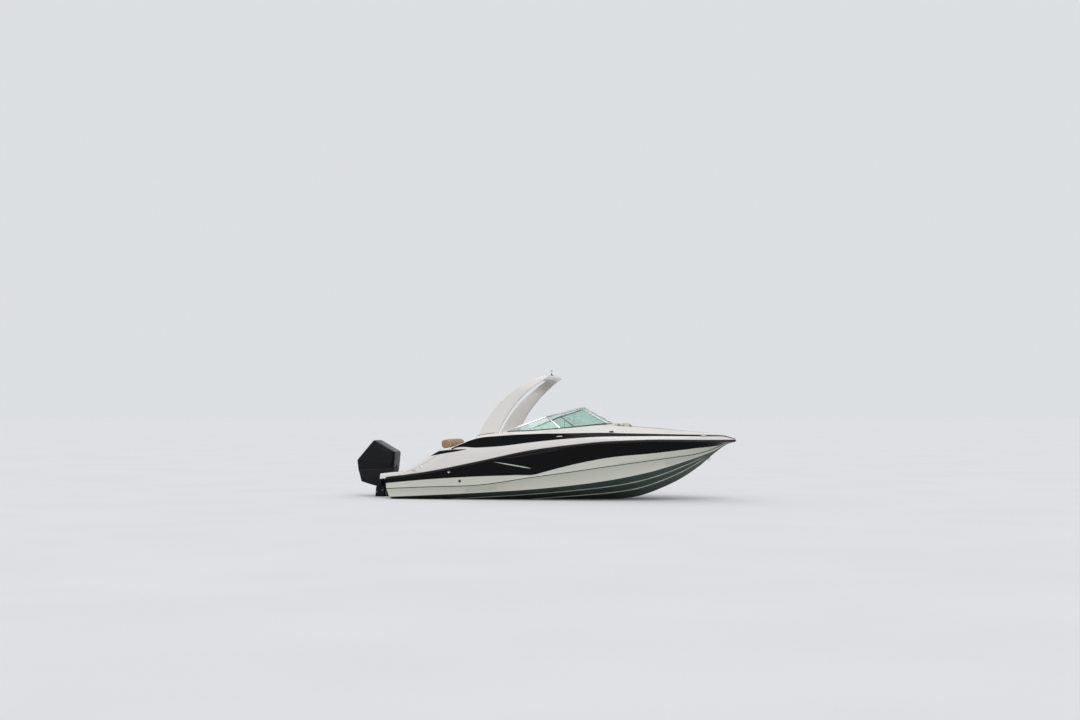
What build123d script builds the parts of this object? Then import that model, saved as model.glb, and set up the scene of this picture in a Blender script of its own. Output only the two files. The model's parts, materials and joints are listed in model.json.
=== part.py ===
from build123d import *
import os
from collections import namedtuple
from math import cos, pi, radians, sin, tan

# An outboard bowrider about 25 ft long with a swept arch over the cockpit.
# Millimetres, +X to the bow, +Y to port, +Z up. The origin is on the centreline at the
# static waterline, about amidships.

# Overall hull and cockpit sizes
TRANSOM_X = -3700.0
TRANSOM_RAKE = 12.0
TRANSOM_TOP_Z = 210.0
CHINE_FLAT = 60.0
STRAKE_WIDTH = 45.0
STRAKE_SHARES = (0.34, 0.66)
SOLE_Z = 330.0
BOW_SOLE_Z = 500.0
BOW_SEAT_Z = 785.0
LINER_T = 15.0
LINER_LIP = 25.0
COCKPIT_AFT_X = -2300.0
COCKPIT_FWD_X = 420.0
COCKPIT_HALF = 900.0
COCKPIT_CORNER = 110.0
WALKWAY_HALF = 310.0
WALKWAY_FWD_X = 1480.0

# Stern: two platforms with the motor well between them, and a side way to the cockpit
PLATFORM_Z = 530.0
PLATFORM_FWD_X = -2850.0
PLATFORM_HALF = 1010.0
PLATFORM_AFT_X = -3850.0
WELL_HALF = 500.0
WELL_FWD_X = -2960.0
STERN_WAY_IN = 500.0
STERN_WAY_OUT = COCKPIT_HALF - LINER_T
STERN_WAY_AFT_X = -2900.0

# Each station: x, keel z, then the half breadth y and height z of each long line
HullStation = namedtuple(
    "HullStation", "x keel_z chine_y chine_z knuckle_y knuckle_z sheer_y sheer_z"
)
HULL_STATIONS = [
    HullStation(-3700, -430, 1090, -10, 1112, 172, 1122, 412),
    HullStation(-2700, -398, 1112, -2, 1172, 176, 1228, 503),
    HullStation(-1500, -365, 1122, 14, 1206, 178, 1282, 688),
    HullStation(-300, -330, 1120, 48, 1222, 305, 1296, 886),
    HullStation(600, -303, 1096, 104, 1196, 392, 1280, 968),
    HullStation(1300, -284, 1040, 170, 1140, 467, 1244, 1010),
    HullStation(1900, -224, 948, 256, 1050, 526, 1168, 1014),
    HullStation(2400, -66, 834, 352, 935, 575, 1080, 1008),
    HullStation(2900, 158, 665, 486, 762, 624, 935, 986),
    HullStation(3300, 412, 478, 606, 545, 670, 745, 962),
    HullStation(3650, 700, 255, 742, 290, 768, 525, 944),
    HullStation(3900, 862, 95, 872, 110, 880, 320, 932),
    HullStation(4090, 912, 20, 915, 26, 918, 72, 925),
]

# Deck lines above the sheer: lower and upper edge of the dark stripe, the outer top
# edge of the coaming, and the height of the crown on the centreline
DeckStation = namedtuple(
    "DeckStation", "x low_y low_z high_y high_z edge_y edge_z crown_z"
)
DECK_STATIONS = [
    DeckStation(-3850, 1092, 432, 1084, 470, 1062, 516, 528),
    DeckStation(-3300, 1180, 470, 1172, 510, 1140, 548, 560),
    DeckStation(-2750, 1218, 610, 1206, 720, 1168, 815, 840),
    DeckStation(-2400, 1240, 800, 1225, 910, 1180, 990, 1012),
    DeckStation(-2050, 1252, 1010, 1240, 1045, 1185, 1062, 1080),
    DeckStation(-1500, 1264, 1012, 1234, 1222, 1160, 1275, 1290),
    DeckStation(-1000, 1272, 1022, 1234, 1254, 1140, 1325, 1338),
    DeckStation(-300, 1276, 1078, 1234, 1266, 1130, 1332, 1345),
    DeckStation(600, 1256, 1128, 1218, 1246, 1098, 1362, 1385),
    DeckStation(1300, 1216, 1140, 1180, 1227, 1010, 1385, 1418),
    DeckStation(1900, 1140, 1122, 1110, 1188, 905, 1322, 1346),
    DeckStation(2400, 1052, 1104, 1024, 1157, 800, 1264, 1280),
    DeckStation(2900, 908, 1082, 882, 1123, 640, 1196, 1212),
    DeckStation(3300, 720, 1062, 698, 1097, 460, 1145, 1158),
    DeckStation(3650, 505, 1042, 488, 1070, 290, 1088, 1098),
    DeckStation(3900, 305, 1022, 296, 1044, 170, 1026, 1034),
    DeckStation(4100, 44, 952, 40, 966, 30, 978, 984),
]

# Bow seating recess and its footwell: x and half breadth of each corner
BOW_RECESS = [(1480, 800), (2300, 700), (2850, 500), (3280, 230)]
BOW_FOOTWELL = [(1480, 330), (2400, 310), (2850, 210)]

# Rub rail
RAIL_OUT = 24.0
RAIL_HALF = 22.0

# Arch: side outline from the root up the aft edge, round the tip and down the front
ARCH_BASE_HALF = 1115.0
ARCH_TOP_HALF = 985.0
ARCH_WALL = 75.0
ARCH_TOP_Z = 2590.0
ARCH_TOP_DEPTH = 115.0
ARCH_ROUND = 430.0
ARCH_ROOT_Z = 1150.0
ARCH_AFT = [
    (-1590, ARCH_ROOT_Z), (-970, ARCH_TOP_Z - 555), (-300, ARCH_TOP_Z - 108), (-10, ARCH_TOP_Z - 10),
]
ARCH_TIP = (52, ARCH_TOP_Z - 32)
ARCH_FWD = [
    (62, ARCH_TOP_Z - 85), (20, ARCH_TOP_Z - 103), (-490, ARCH_TOP_Z - 480), (-1140, ARCH_ROOT_Z),
]

# Windshield: foot and head of each upright line from the aft end round to the centre.
# The feet stand on the deck.
ShieldPoint = namedtuple("ShieldPoint", "foot_x foot_y head_x head_y head_z")
SHIELD = [
    ShieldPoint(-850, 1035, -800, 1032, 1380),
    ShieldPoint(-300, 1030, -400, 945, 1518),
    ShieldPoint(330, 930, -5, 800, 1645),
    ShieldPoint(870, 690, 390, 600, 1732),
    ShieldPoint(1300, 345, 665, 315, 1806),
    ShieldPoint(1365, 0, 725, 0, 1812),
]
SHIELD_POSTS = (2, 4)
SHIELD_SINK = 20.0
SHIELD_BAR = 28.0
SHIELD_BAR_T = 22.0
GLASS_T = 6.0
GATE_GAP = 8.0
GATE_LIFT = 20.0
GATE_BAR = 24.0

# Consoles: the dash slopes up and forward, square to the steering column
CONSOLE_IN = WALKWAY_HALF + 20.0
CONSOLE_OUT = COCKPIT_HALF - LINER_T - 10.0
CONSOLE_KNEE_X = 330.0
CONSOLE_KNEE_Z = 900.0
DASH_AFT_X = 190.0
DASH_LOW_Z = 985.0
DASH_TOP_Z = 1290.0
COLUMN_RISE = 35.0
WHEEL_RADIUS = 175.0
WHEEL_RIM = 13.0
WHEEL_STAND = 115.0
COLUMN_R = 16.0
BOSS_R = 42.0
BOSS_H = 25.0
PIN_GAP = 0.3
PANEL_T = 10.0

# Seats: a pedestal each side that carries a swivelling bucket
SEAT_X = -420.0
SEAT_Y = 480.0
SEAT_W = 500.0
SEAT_D = 500.0
SEAT_PAN_Z = 720.0
SEAT_PAN_T = 30.0
SEAT_PAD_T = 110.0
SEAT_BACK_TOP = 1330.0
SEAT_BACK_T = 110.0
SEAT_SHELL_T = 25.0
PEDESTAL_R = 55.0
PEDESTAL_FOOT_R = 150.0
PEDESTAL_FOOT_T = 12.0
SPIGOT_R = 30.0
SPIGOT_H = 20.0
MOVE_GAP = 6.0

# Aft bench, its cushions and the tan bolster over the stern bulkhead
BENCH_FWD_X = -1720.0
BENCH_TOP_Z = 580.0
CUSHION_T = 110.0
BACKREST_T = 130.0
BOLSTER_AFT_X = -2480.0
BOLSTER_FWD_X = -2250.0
BOLSTER_Z = 1025.0
BOLSTER_PLINTH = 180.0
BOLSTER_T = 205.0
SOFT_GAP = 4.0

# Bow cushions and the backrests against the consoles
BOW_SIDE_FWD_X = 2830.0
BOW_BACK_FOOT = 270.0
BOW_BACK_TOP_Z = 1440.0
BOW_BACK_OUT = 700.0

# Doors and lids
DOOR_T = 28.0
DOOR_GAP = 8.0
BOW_DOOR_X = 1440.0
BOW_DOOR_TOP_Z = 1340.0
STERN_GATE_X = -2420.0
STERN_GATE_TOP_Z = 985.0
LID_T = 14.0
LID_GAP = 6.0
ANCHOR_LID_AFT_X = 3390.0
ANCHOR_LID_FWD_X = 3700.0
ANCHOR_LID_HALF = 140.0
ANCHOR_BOX_FWD_X = 3640.0
ANCHOR_BOX_HALF = 105.0
ANCHOR_BOX_Z = 860.0
SKI_LID_AFT_X = -1560.0
SKI_LID_FWD_X = -840.0
SKI_LID_HALF = 170.0
SKI_DEPTH = 200.0

# Outboard motor. Its own axes run forward and up along the leg, trimmed out from upright
TRIM = 10.0
TILT_X = -3740.0
TILT_Z = 285.0
TILT_TUBE_R = 18.0
STEER_BACK = 230.0
STEER_TUBE_R = 48.0
STEER_PIN_R = 24.0
STEER_TOP_V = 30.0
STEER_LOW_V = -330.0
YOKE_H = 34.0
COWL_ROUND = 36.0
COWL_WALL = 22.0
COWL_SEAM = 3.0
COWL_SIDE = [(-105, 300), (-120, 685), (-655, 900), (-1030, 375), (-965, 150)]
CHAPS_SIDE = [
    (-105, 300), (-965, 150), (-930, 94), (-840, -99), (-471, -150), (-345, -125),
    (-330, 110), (-125, 130),
]
# Cowl seen from above: fore and aft place and half width
COWL_PLAN = [(-60, 215), (-200, 272), (-420, 290), (-720, 272), (-1080, 165)]
# Engine block: aft and fore ends, foot and top, half width
ENGINE_BLOCK = (-800, -340, 78, 560, 170)
LEG_SIDE = [(-305, 70), (-480, 70), (-520, -200), (-500, -665), (-250, -665), (-300, -450)]
LEG_HALF = 88.0
CLAMP_HALF = 118.0
CLAMP_T = 16.0
PLATE_V = -665.0
PLATE_SIDE = (-640, -170)
PLATE_HALF = 125.0
PLATE_T = 14.0
PROP_SHAFT_V = -880.0
TORPEDO_NOSE_U = -165.0
TORPEDO_END_U = -520.0
TORPEDO_R = 62.0
STRUT_SIDE = [
    (-230, -672), (-510, -672), (-500, -880), (-505, -960), (-400, -1110), (-330, -1110),
    (-240, -880),
]
STRUT_HALF = 26.0
PROP_HUB_L = 130.0
PROP_HUB_R = 48.0
PROP_PITCH = 480.0
PROP_BLADES = 3
# Blade sections: radius, chord, thickness
PROP_SECTIONS = [(40, 90, 14), (110, 150, 9), (185, 95, 4)]

# Fittings
CLEAT_L = 150.0
CLEAT_R = 8.0
CLEAT_RISE = 32.0
CLEAT_PLACES = [365, 3465, -3000]
EYE_X = 3480.0
EYE_RAKE = 40.0
EYE_R = 28.0
EYE_BAR_R = 7.0
EYE_STAND = 45.0
LIGHT_X = -5.0
# All-round light: radius, foot and top of its base, stem and lens above the arch's top
LIGHT_STEPS = [(26, -70, -4), (9, -70, 50), (18, 50, 90)]


def line_at(stations, column, x):
    """Value of one long line at x, straight between the stations and past the ends."""
    rows = [(row.x, getattr(row, column)) for row in stations]
    spans = list(zip(rows, rows[1:]))
    for (x0, v0), (x1, v1) in spans:
        if x <= x1 or x1 == rows[-1][0]:
            return v0 + (v1 - v0) * (x - x0) / (x1 - x0)


def both_sides(half):
    """Closed outline from a port half outline, mirrored to starboard."""
    return half + [(-y, z) for y, z in reversed(half) if y > 0]


def hull_section(row):
    """Half section from the keel up to the sheer, with its lifting strakes."""
    inner_y = row.chine_y - min(CHINE_FLAT, row.chine_y / 4)
    slope = (row.chine_z - row.keel_z) / inner_y
    width = min(STRAKE_WIDTH, row.chine_y / 8)
    points = [(0, row.keel_z)]
    for share in STRAKE_SHARES:
        y, z = share * inner_y, row.keel_z + slope * share * inner_y
        points += [(y, z), (y + width, z), (y + width, z + slope * width)]
    points += [(inner_y, row.chine_z), (row.chine_y, row.chine_z)]
    return points + [(row.knuckle_y, row.knuckle_z), (row.sheer_y, row.sheer_z)]


def deck_section(x):
    """Half section from the crown out and down to the sheer, closed flat at the sheer."""
    side = [("edge_y", "edge_z"), ("high_y", "high_z"), ("low_y", "low_z")]
    outer = [(line_at(DECK_STATIONS, y, x), line_at(DECK_STATIONS, z, x)) for y, z in side]
    sheer = (line_at(HULL_STATIONS, "sheer_y", x), line_at(HULL_STATIONS, "sheer_z", x))
    return [(0, line_at(DECK_STATIONS, "crown_z", x)), *outer, sheer]


def ring(points):
    """Fills the closed outline into the open sketch."""
    Polygon(*points, align=None)


def plan_ring(corners, inset=0):
    """Fills a plan outline given by its port corners, drawn in by inset."""
    ends = [(corners[0][0] + inset, corners[0][1]), *corners[1:-1]]
    ends.append((corners[-1][0] - inset, corners[-1][1]))
    port = [(x, y - inset) for x, y in ends]
    ring(port + [(x, -y) for x, y in reversed(port)])


def slab(x0, x1, y0, y1):
    """Fills a rectangle between two corners into the open sketch."""
    with Locations(((x0 + x1) / 2, (y0 + y1) / 2)):
        Rectangle(abs(x1 - x0), abs(y1 - y0))


def cockpit_plan(inset=0):
    """Cockpit outline with rounded corners."""
    with Locations(((COCKPIT_AFT_X + COCKPIT_FWD_X) / 2, 0)):
        RectangleRounded(
            COCKPIT_FWD_X - COCKPIT_AFT_X - 2 * inset,
            2 * (COCKPIT_HALF - inset),
            COCKPIT_CORNER - inset,
        )


def save(piece, name):
    """Labels a finished piece and writes it."""
    piece.part.label = name
    export_step(piece.part, f"parts/{name}.step")


def deck_top(x, y):
    """Height of the deck between its edge and its crown."""
    edge_y = line_at(DECK_STATIONS, "edge_y", x)
    edge_z = line_at(DECK_STATIONS, "edge_z", x)
    crown_z = line_at(DECK_STATIONS, "crown_z", x)
    return crown_z + (edge_z - crown_z) * abs(y) / edge_y


def under_deck(x0, x1):
    """Side outline of the room under the deck's edge, from x0 to x1."""
    inside = [row.x for row in DECK_STATIONS if x0 < row.x < x1]
    lip = [(x, line_at(DECK_STATIONS, "edge_z", x) - LINER_LIP) for x in [x0, *inside, x1]]
    return lip + [(x1, -TALL), (x0, -TALL)]


def side_plane(y):
    """Plane whose axes are X and Z, at a distance y to port."""
    return Plane.XZ.offset(-y)


def motor_point(u, v):
    """Point on the centre plane at u forward and v up in the motor's own axes."""
    return Vector(TILT_X, 0, TILT_Z) + MOTOR_FWD * u + MOTOR_UP * v


def engine_side(margin=0):
    """Side outline of the engine block, grown by a margin."""
    aft, fwd, low, high, _ = ENGINE_BLOCK
    slab(aft - margin, fwd + margin, low - margin, high + margin)


def cowl_plan(inset=0):
    """Fills the cowl's outline seen from above, drawn in by inset."""
    port = [(u, half - inset) for u, half in COWL_PLAN]
    ring(port + [(u, -half) for u, half in reversed(port)])


def shield_row(index, side=1):
    """Plane of one upright line of the windshield, with its length."""
    row = SHIELD[index]
    foot = Vector(row.foot_x, side * row.foot_y, deck_top(row.foot_x, row.foot_y))
    head = Vector(row.head_x, side * row.head_y, row.head_z)
    before, after = SHIELD[max(index - 1, 0)], SHIELD[min(index + 1, len(SHIELD) - 1)]
    run_y = after.foot_y - before.foot_y if after is not row else -2 * before.foot_y
    run_x = after.foot_x - before.foot_x if after is not row else 0
    return rake_plane(foot, head, Vector(run_x, side * run_y, 0) * side)


def rake_plane(foot, head, run):
    """Plane with x up the rake from foot to head, its normal along the run."""
    rake = (head - foot).normalized()
    along = (run - rake * run.dot(rake)).normalized()
    return Plane(origin=foot, x_dir=rake, z_dir=along), (head - foot).length


def gate_row(y):
    """Plane of an upright line of the centre gate at foot breadth y, with its length."""
    outer, centre = SHIELD[-2], SHIELD[-1]
    share = abs(y) / outer.foot_y
    foot_x = centre.foot_x + (outer.foot_x - centre.foot_x) * share
    head_x = centre.head_x + (outer.head_x - centre.head_x) * share
    head_z = centre.head_z + (outer.head_z - centre.head_z) * share
    foot = Vector(foot_x, y, deck_top(foot_x, y) + GATE_LIFT)
    head = Vector(head_x, y * outer.head_y / outer.foot_y, head_z)
    return rake_plane(foot, head, Vector(0, -1, 0))


os.makedirs("parts", exist_ok=True)
TALL = 4000.0
STERN_WAY = (STERN_WAY_AFT_X, COCKPIT_AFT_X + COCKPIT_CORNER, STERN_WAY_IN, STERN_WAY_OUT)
MOTOR_FWD = Vector(cos(radians(TRIM)), 0, -sin(radians(TRIM)))
MOTOR_UP = Vector(sin(radians(TRIM)), 0, cos(radians(TRIM)))
MOTOR_SIDE = Plane(origin=motor_point(0, 0), x_dir=MOTOR_FWD, z_dir=(0, -1, 0))

# Full outer forms of hull and deck, before anything is cut
with BuildPart() as hull_form:
    for station in HULL_STATIONS:
        with BuildSketch(Plane.YZ.offset(station.x)):
            ring(both_sides(hull_section(station)))
    loft(ruled=True)

with BuildPart() as deck_form:
    shared = [row.x for row in HULL_STATIONS if row.x < DECK_STATIONS[-1].x]
    for x in sorted({row.x for row in DECK_STATIONS}.union(shared)):
        with BuildSketch(Plane.YZ.offset(x)):
            ring(both_sides(deck_section(x)))
    loft(ruled=True)

# Hull moulding: hollow at the cockpit, the way forward, the bow footwell and the motor well
with BuildPart() as hull:
    add(hull_form.part)
    with BuildSketch(Plane.XY.offset(SOLE_Z - LINER_T)):
        cockpit_plan()
        slab(0, WALKWAY_FWD_X, -WALKWAY_HALF, WALKWAY_HALF)
    extrude(amount=TALL, mode=Mode.SUBTRACT)
    with BuildSketch(Plane.XY.offset(BOW_SEAT_Z - LINER_T)):
        plan_ring(BOW_RECESS)
    extrude(amount=TALL, mode=Mode.SUBTRACT)
    with BuildSketch(Plane.XY.offset(BOW_SOLE_Z - LINER_T)):
        plan_ring(BOW_FOOTWELL)
    extrude(amount=TALL, mode=Mode.SUBTRACT)
    with BuildSketch(Plane.XY.offset(TRANSOM_TOP_Z)):
        slab(TRANSOM_X, WELL_FWD_X, -WELL_HALF, WELL_HALF)
    extrude(amount=TALL, mode=Mode.SUBTRACT)
    with BuildSketch(Plane.XY.offset(PLATFORM_Z)):
        slab(*STERN_WAY)
    extrude(amount=TALL, mode=Mode.SUBTRACT)
    with BuildSketch(Plane.XY.offset(SOLE_Z - SKI_DEPTH)):
        slab(SKI_LID_AFT_X, SKI_LID_FWD_X, -SKI_LID_HALF, SKI_LID_HALF)
    extrude(amount=SKI_DEPTH, mode=Mode.SUBTRACT)
    with BuildSketch(Plane.XY.offset(ANCHOR_BOX_Z)):
        slab(ANCHOR_LID_AFT_X + LID_GAP, ANCHOR_BOX_FWD_X, -ANCHOR_BOX_HALF, ANCHOR_BOX_HALF)
    extrude(amount=TALL, mode=Mode.SUBTRACT)
    with BuildSketch(Plane.XZ):
        Polygon(
            (TRANSOM_X - TALL, TRANSOM_TOP_Z),
            (TRANSOM_X, TRANSOM_TOP_Z),
            (TRANSOM_X + TALL * tan(radians(TRANSOM_RAKE)), TRANSOM_TOP_Z - TALL),
            (TRANSOM_X - TALL, TRANSOM_TOP_Z - TALL),
            align=None,
        )
    extrude(amount=TALL, both=True, mode=Mode.SUBTRACT)
save(hull, "hull")

# Deck moulding: side decks, foredeck, coamings, platforms and the stern bulkhead
with BuildPart() as deck:
    add(deck_form.part)
    with BuildSketch(Plane.XY.offset(BOLSTER_Z - BOLSTER_PLINTH)):
        slab(BOLSTER_AFT_X, COCKPIT_AFT_X, -STERN_WAY_OUT, STERN_WAY_IN - SOFT_GAP)
    extrude(amount=BOLSTER_PLINTH)
    with BuildSketch(Plane.XY):
        cockpit_plan()
        slab(0, WALKWAY_FWD_X, -WALKWAY_HALF, WALKWAY_HALF)
        plan_ring(BOW_RECESS)
        slab(PLATFORM_AFT_X - WELL_HALF, WELL_FWD_X, -WELL_HALF, WELL_HALF)
        slab(ANCHOR_LID_AFT_X + LID_GAP, ANCHOR_BOX_FWD_X, -ANCHOR_BOX_HALF, ANCHOR_BOX_HALF)
    extrude(amount=TALL, mode=Mode.SUBTRACT)
    with BuildSketch(Plane.XY.offset(PLATFORM_Z)):
        slab(PLATFORM_AFT_X - WELL_HALF, PLATFORM_FWD_X, -PLATFORM_HALF, PLATFORM_HALF)
        slab(*STERN_WAY)
    extrude(amount=TALL, mode=Mode.SUBTRACT)
    with BuildSketch(Plane.XY):
        slab(ANCHOR_LID_AFT_X, ANCHOR_LID_FWD_X, -ANCHOR_LID_HALF, ANCHOR_LID_HALF)
    rebate = extrude(amount=TALL, mode=Mode.PRIVATE)
    add(rebate - deck_form.part.moved(Location((0, 0, -LID_T))), mode=Mode.SUBTRACT)
save(deck, "deck")

# Anchor locker lid: a piece of the foredeck's skin
with BuildPart() as anchor_locker_lid:
    with BuildSketch(Plane.XY):
        slab(
            ANCHOR_LID_AFT_X + LID_GAP, ANCHOR_LID_FWD_X - LID_GAP,
            LID_GAP - ANCHOR_LID_HALF, ANCHOR_LID_HALF - LID_GAP,
        )
    extrude(amount=TALL)
    add(deck_form.part, mode=Mode.INTERSECT)
    add(deck_form.part.moved(Location((0, 0, 1 - LID_T))), mode=Mode.SUBTRACT)
save(anchor_locker_lid, "anchor_locker_lid")

# Cockpit liner: sole, sides and the way forward in one thin tub
with BuildPart() as cockpit_liner:
    with BuildSketch(Plane.XY.offset(SOLE_Z - LINER_T)):
        cockpit_plan()
        slab(0, WALKWAY_FWD_X, -WALKWAY_HALF, WALKWAY_HALF)
    extrude(amount=TALL)
    with BuildSketch(Plane.XY.offset(SOLE_Z)):
        cockpit_plan(LINER_T)
        slab(0, WALKWAY_FWD_X - LINER_T, LINER_T - WALKWAY_HALF, WALKWAY_HALF - LINER_T)
    extrude(amount=TALL, mode=Mode.SUBTRACT)
    with BuildSketch(Plane.XY.offset(BOW_SOLE_Z - LINER_T)):
        slab(0, WALKWAY_FWD_X, LINER_T - WALKWAY_HALF, WALKWAY_HALF - LINER_T)
    extrude(amount=TALL, mode=Mode.SUBTRACT)
    with BuildSketch(Plane.XY.offset(PLATFORM_Z)):
        slab(*STERN_WAY)
    extrude(amount=TALL, mode=Mode.SUBTRACT)
    with BuildSketch(Plane.XY):
        slab(SKI_LID_AFT_X, SKI_LID_FWD_X, -SKI_LID_HALF, SKI_LID_HALF)
    extrude(amount=TALL, mode=Mode.SUBTRACT)
    with BuildSketch(Plane.XZ):
        ring(under_deck(COCKPIT_AFT_X, WALKWAY_FWD_X))
    extrude(amount=TALL, both=True, mode=Mode.INTERSECT)
save(cockpit_liner, "cockpit_liner")

# Sole locker lid
with BuildPart() as sole_locker_lid:
    with BuildSketch(Plane.XY.offset(SOLE_Z - LID_T)):
        slab(
            SKI_LID_AFT_X + LID_GAP, SKI_LID_FWD_X - LID_GAP,
            LID_GAP - SKI_LID_HALF, SKI_LID_HALF - LID_GAP,
        )
    extrude(amount=LID_T)
save(sole_locker_lid, "sole_locker_lid")

# Bow liner: seat benches round a footwell
with BuildPart() as bow_liner:
    with BuildSketch(Plane.XY.offset(BOW_SEAT_Z - LINER_T)):
        plan_ring(BOW_RECESS)
    extrude(amount=TALL)
    with BuildSketch(Plane.XY.offset(BOW_SOLE_Z - LINER_T)):
        plan_ring(BOW_FOOTWELL)
    extrude(amount=BOW_SEAT_Z - BOW_SOLE_Z)
    with BuildSketch(Plane.XY.offset(BOW_SEAT_Z)):
        plan_ring(BOW_RECESS, LINER_T)
    extrude(amount=TALL, mode=Mode.SUBTRACT)
    with BuildSketch(Plane.XY.offset(BOW_SOLE_Z)):
        plan_ring(BOW_FOOTWELL, LINER_T)
        slab(
            WALKWAY_FWD_X - LINER_T, WALKWAY_FWD_X + 2 * LINER_T,
            LINER_T - WALKWAY_HALF, WALKWAY_HALF - LINER_T,
        )
    extrude(amount=TALL, mode=Mode.SUBTRACT)
    with BuildSketch(Plane.XZ):
        ring(under_deck(WALKWAY_FWD_X, BOW_RECESS[-1][0]))
    extrude(amount=TALL, both=True, mode=Mode.INTERSECT)
save(bow_liner, "bow_liner")

# Rub rail along the joint of hull and deck, round the bow
with BuildPart() as rub_rail:
    sheer = [(row.x, row.sheer_y, row.sheer_z) for row in HULL_STATIONS]
    nose_x = DECK_STATIONS[-1].x + RAIL_OUT
    sheer.append((nose_x, sheer[-1][1] - (nose_x - sheer[-1][0]), sheer[-1][2]))
    for x, y, z in sheer:
        with BuildSketch(Plane.YZ.offset(x)):
            slab(-y - RAIL_OUT, y + RAIL_OUT, z - RAIL_HALF, z + RAIL_HALF)
    loft(ruled=True)
    add(hull_form.part, mode=Mode.SUBTRACT)
    add(deck_form.part, mode=Mode.SUBTRACT)
save(rub_rail, "rub_rail")

# Arch: a swept side outline crossed with a front outline of two leaning legs and a top
with BuildPart() as arch:
    with BuildSketch(Plane.XZ):
        with BuildLine():
            ThreePointArc(*ARCH_AFT[:3])
            Line(ARCH_AFT[2], ARCH_AFT[3])
            ThreePointArc(ARCH_AFT[3], ARCH_TIP, ARCH_FWD[0])
            Line(ARCH_FWD[0], ARCH_FWD[1])
            ThreePointArc(*ARCH_FWD[1:])
            Line(ARCH_FWD[3], ARCH_AFT[0])
        make_face()
    extrude(amount=TALL, both=True)
    with BuildSketch(Plane.YZ) as arch_front:
        Polygon(
            (-ARCH_BASE_HALF, ARCH_ROOT_Z), (ARCH_BASE_HALF, ARCH_ROOT_Z),
            (ARCH_TOP_HALF, ARCH_TOP_Z), (-ARCH_TOP_HALF, ARCH_TOP_Z), align=None,
        )
        fillet(arch_front.vertices().group_by(Axis.Y)[-1], ARCH_ROUND)
    extrude(amount=TALL, both=True, mode=Mode.INTERSECT)
    with BuildSketch(Plane.YZ) as arch_inside:
        inner_top = ARCH_TOP_Z - ARCH_TOP_DEPTH
        Polygon(
            (ARCH_WALL - ARCH_BASE_HALF, ARCH_ROOT_Z), (ARCH_BASE_HALF - ARCH_WALL, ARCH_ROOT_Z),
            (ARCH_TOP_HALF - ARCH_WALL, inner_top), (ARCH_WALL - ARCH_TOP_HALF, inner_top),
            align=None,
        )
        fillet(arch_inside.vertices().group_by(Axis.Y)[-1], ARCH_ROUND - ARCH_TOP_DEPTH)
    extrude(amount=TALL, both=True, mode=Mode.SUBTRACT)
    add(deck_form.part, mode=Mode.SUBTRACT)
save(arch, "arch")

# Windshield frame: a foot bar, a top bar and posts on each side
with BuildPart() as windshield_frame:
    rows = [shield_row(i) for i in range(SHIELD_POSTS[-1] + 1)]
    for plane, length in rows:
        with BuildSketch(plane):
            slab(-SHIELD_SINK, SHIELD_BAR, -SHIELD_BAR_T / 2, SHIELD_BAR_T / 2)
    loft(ruled=True)
    for plane, length in rows:
        with BuildSketch(plane):
            slab(length - SHIELD_BAR, length, -SHIELD_BAR_T / 2, SHIELD_BAR_T / 2)
    loft(ruled=True)
    for post in SHIELD_POSTS:
        plane, length = rows[post]
        with BuildSketch(plane):
            slab(-SHIELD_SINK, length, -SHIELD_BAR_T / 2, SHIELD_BAR_T / 2)
        extrude(amount=SHIELD_BAR / 2, both=True)
    mirror(about=Plane.XZ)
    add(deck_form.part, mode=Mode.SUBTRACT)
save(windshield_frame, "windshield_frame")

# Fixed panes: one beside and one in front of each console
for name, first, last in (("side_glass", 0, 2), ("front_glass", 2, 4)):
    with BuildPart() as port_pane:
        for plane, length in [shield_row(i) for i in range(first, last + 1)]:
            with BuildSketch(plane):
                slab(SHIELD_BAR / 2, length - SHIELD_BAR / 2, -GLASS_T / 2, GLASS_T / 2)
        loft(ruled=True)
        add(windshield_frame.part, mode=Mode.SUBTRACT)
    with BuildPart() as starboard_pane:
        add(port_pane.part)
        mirror(about=Plane.XZ, mode=Mode.REPLACE)
    save(port_pane, f"{name}_port")
    save(starboard_pane, f"{name}_starboard")

# Centre gate of the windshield, hinged at its port post
GATE_HALF = SHIELD[-2].foot_y - SHIELD_BAR / 2 - GATE_GAP
with BuildPart() as gate_frame:
    for plane, length in [gate_row(y) for y in (GATE_HALF, 0, -GATE_HALF)]:
        with BuildSketch(plane):
            slab(0, length, -SHIELD_BAR_T / 2, SHIELD_BAR_T / 2)
    loft(ruled=True)
    for plane, length in [gate_row(y) for y in (GATE_HALF - GATE_BAR, 0, GATE_BAR - GATE_HALF)]:
        with BuildSketch(plane):
            slab(GATE_BAR, length - GATE_BAR, -SHIELD_BAR_T, SHIELD_BAR_T)
    loft(ruled=True, mode=Mode.SUBTRACT)
save(gate_frame, "gate_frame")

with BuildPart() as gate_glass:
    pane_half = GATE_HALF - GATE_BAR / 2
    for plane, length in [gate_row(y) for y in (pane_half, 0, -pane_half)]:
        with BuildSketch(plane):
            slab(GATE_BAR / 2, length - GATE_BAR / 2, -GLASS_T / 2, GLASS_T / 2)
    loft(ruled=True)
    add(gate_frame.part, mode=Mode.SUBTRACT)
save(gate_glass, "gate_glass")

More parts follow.
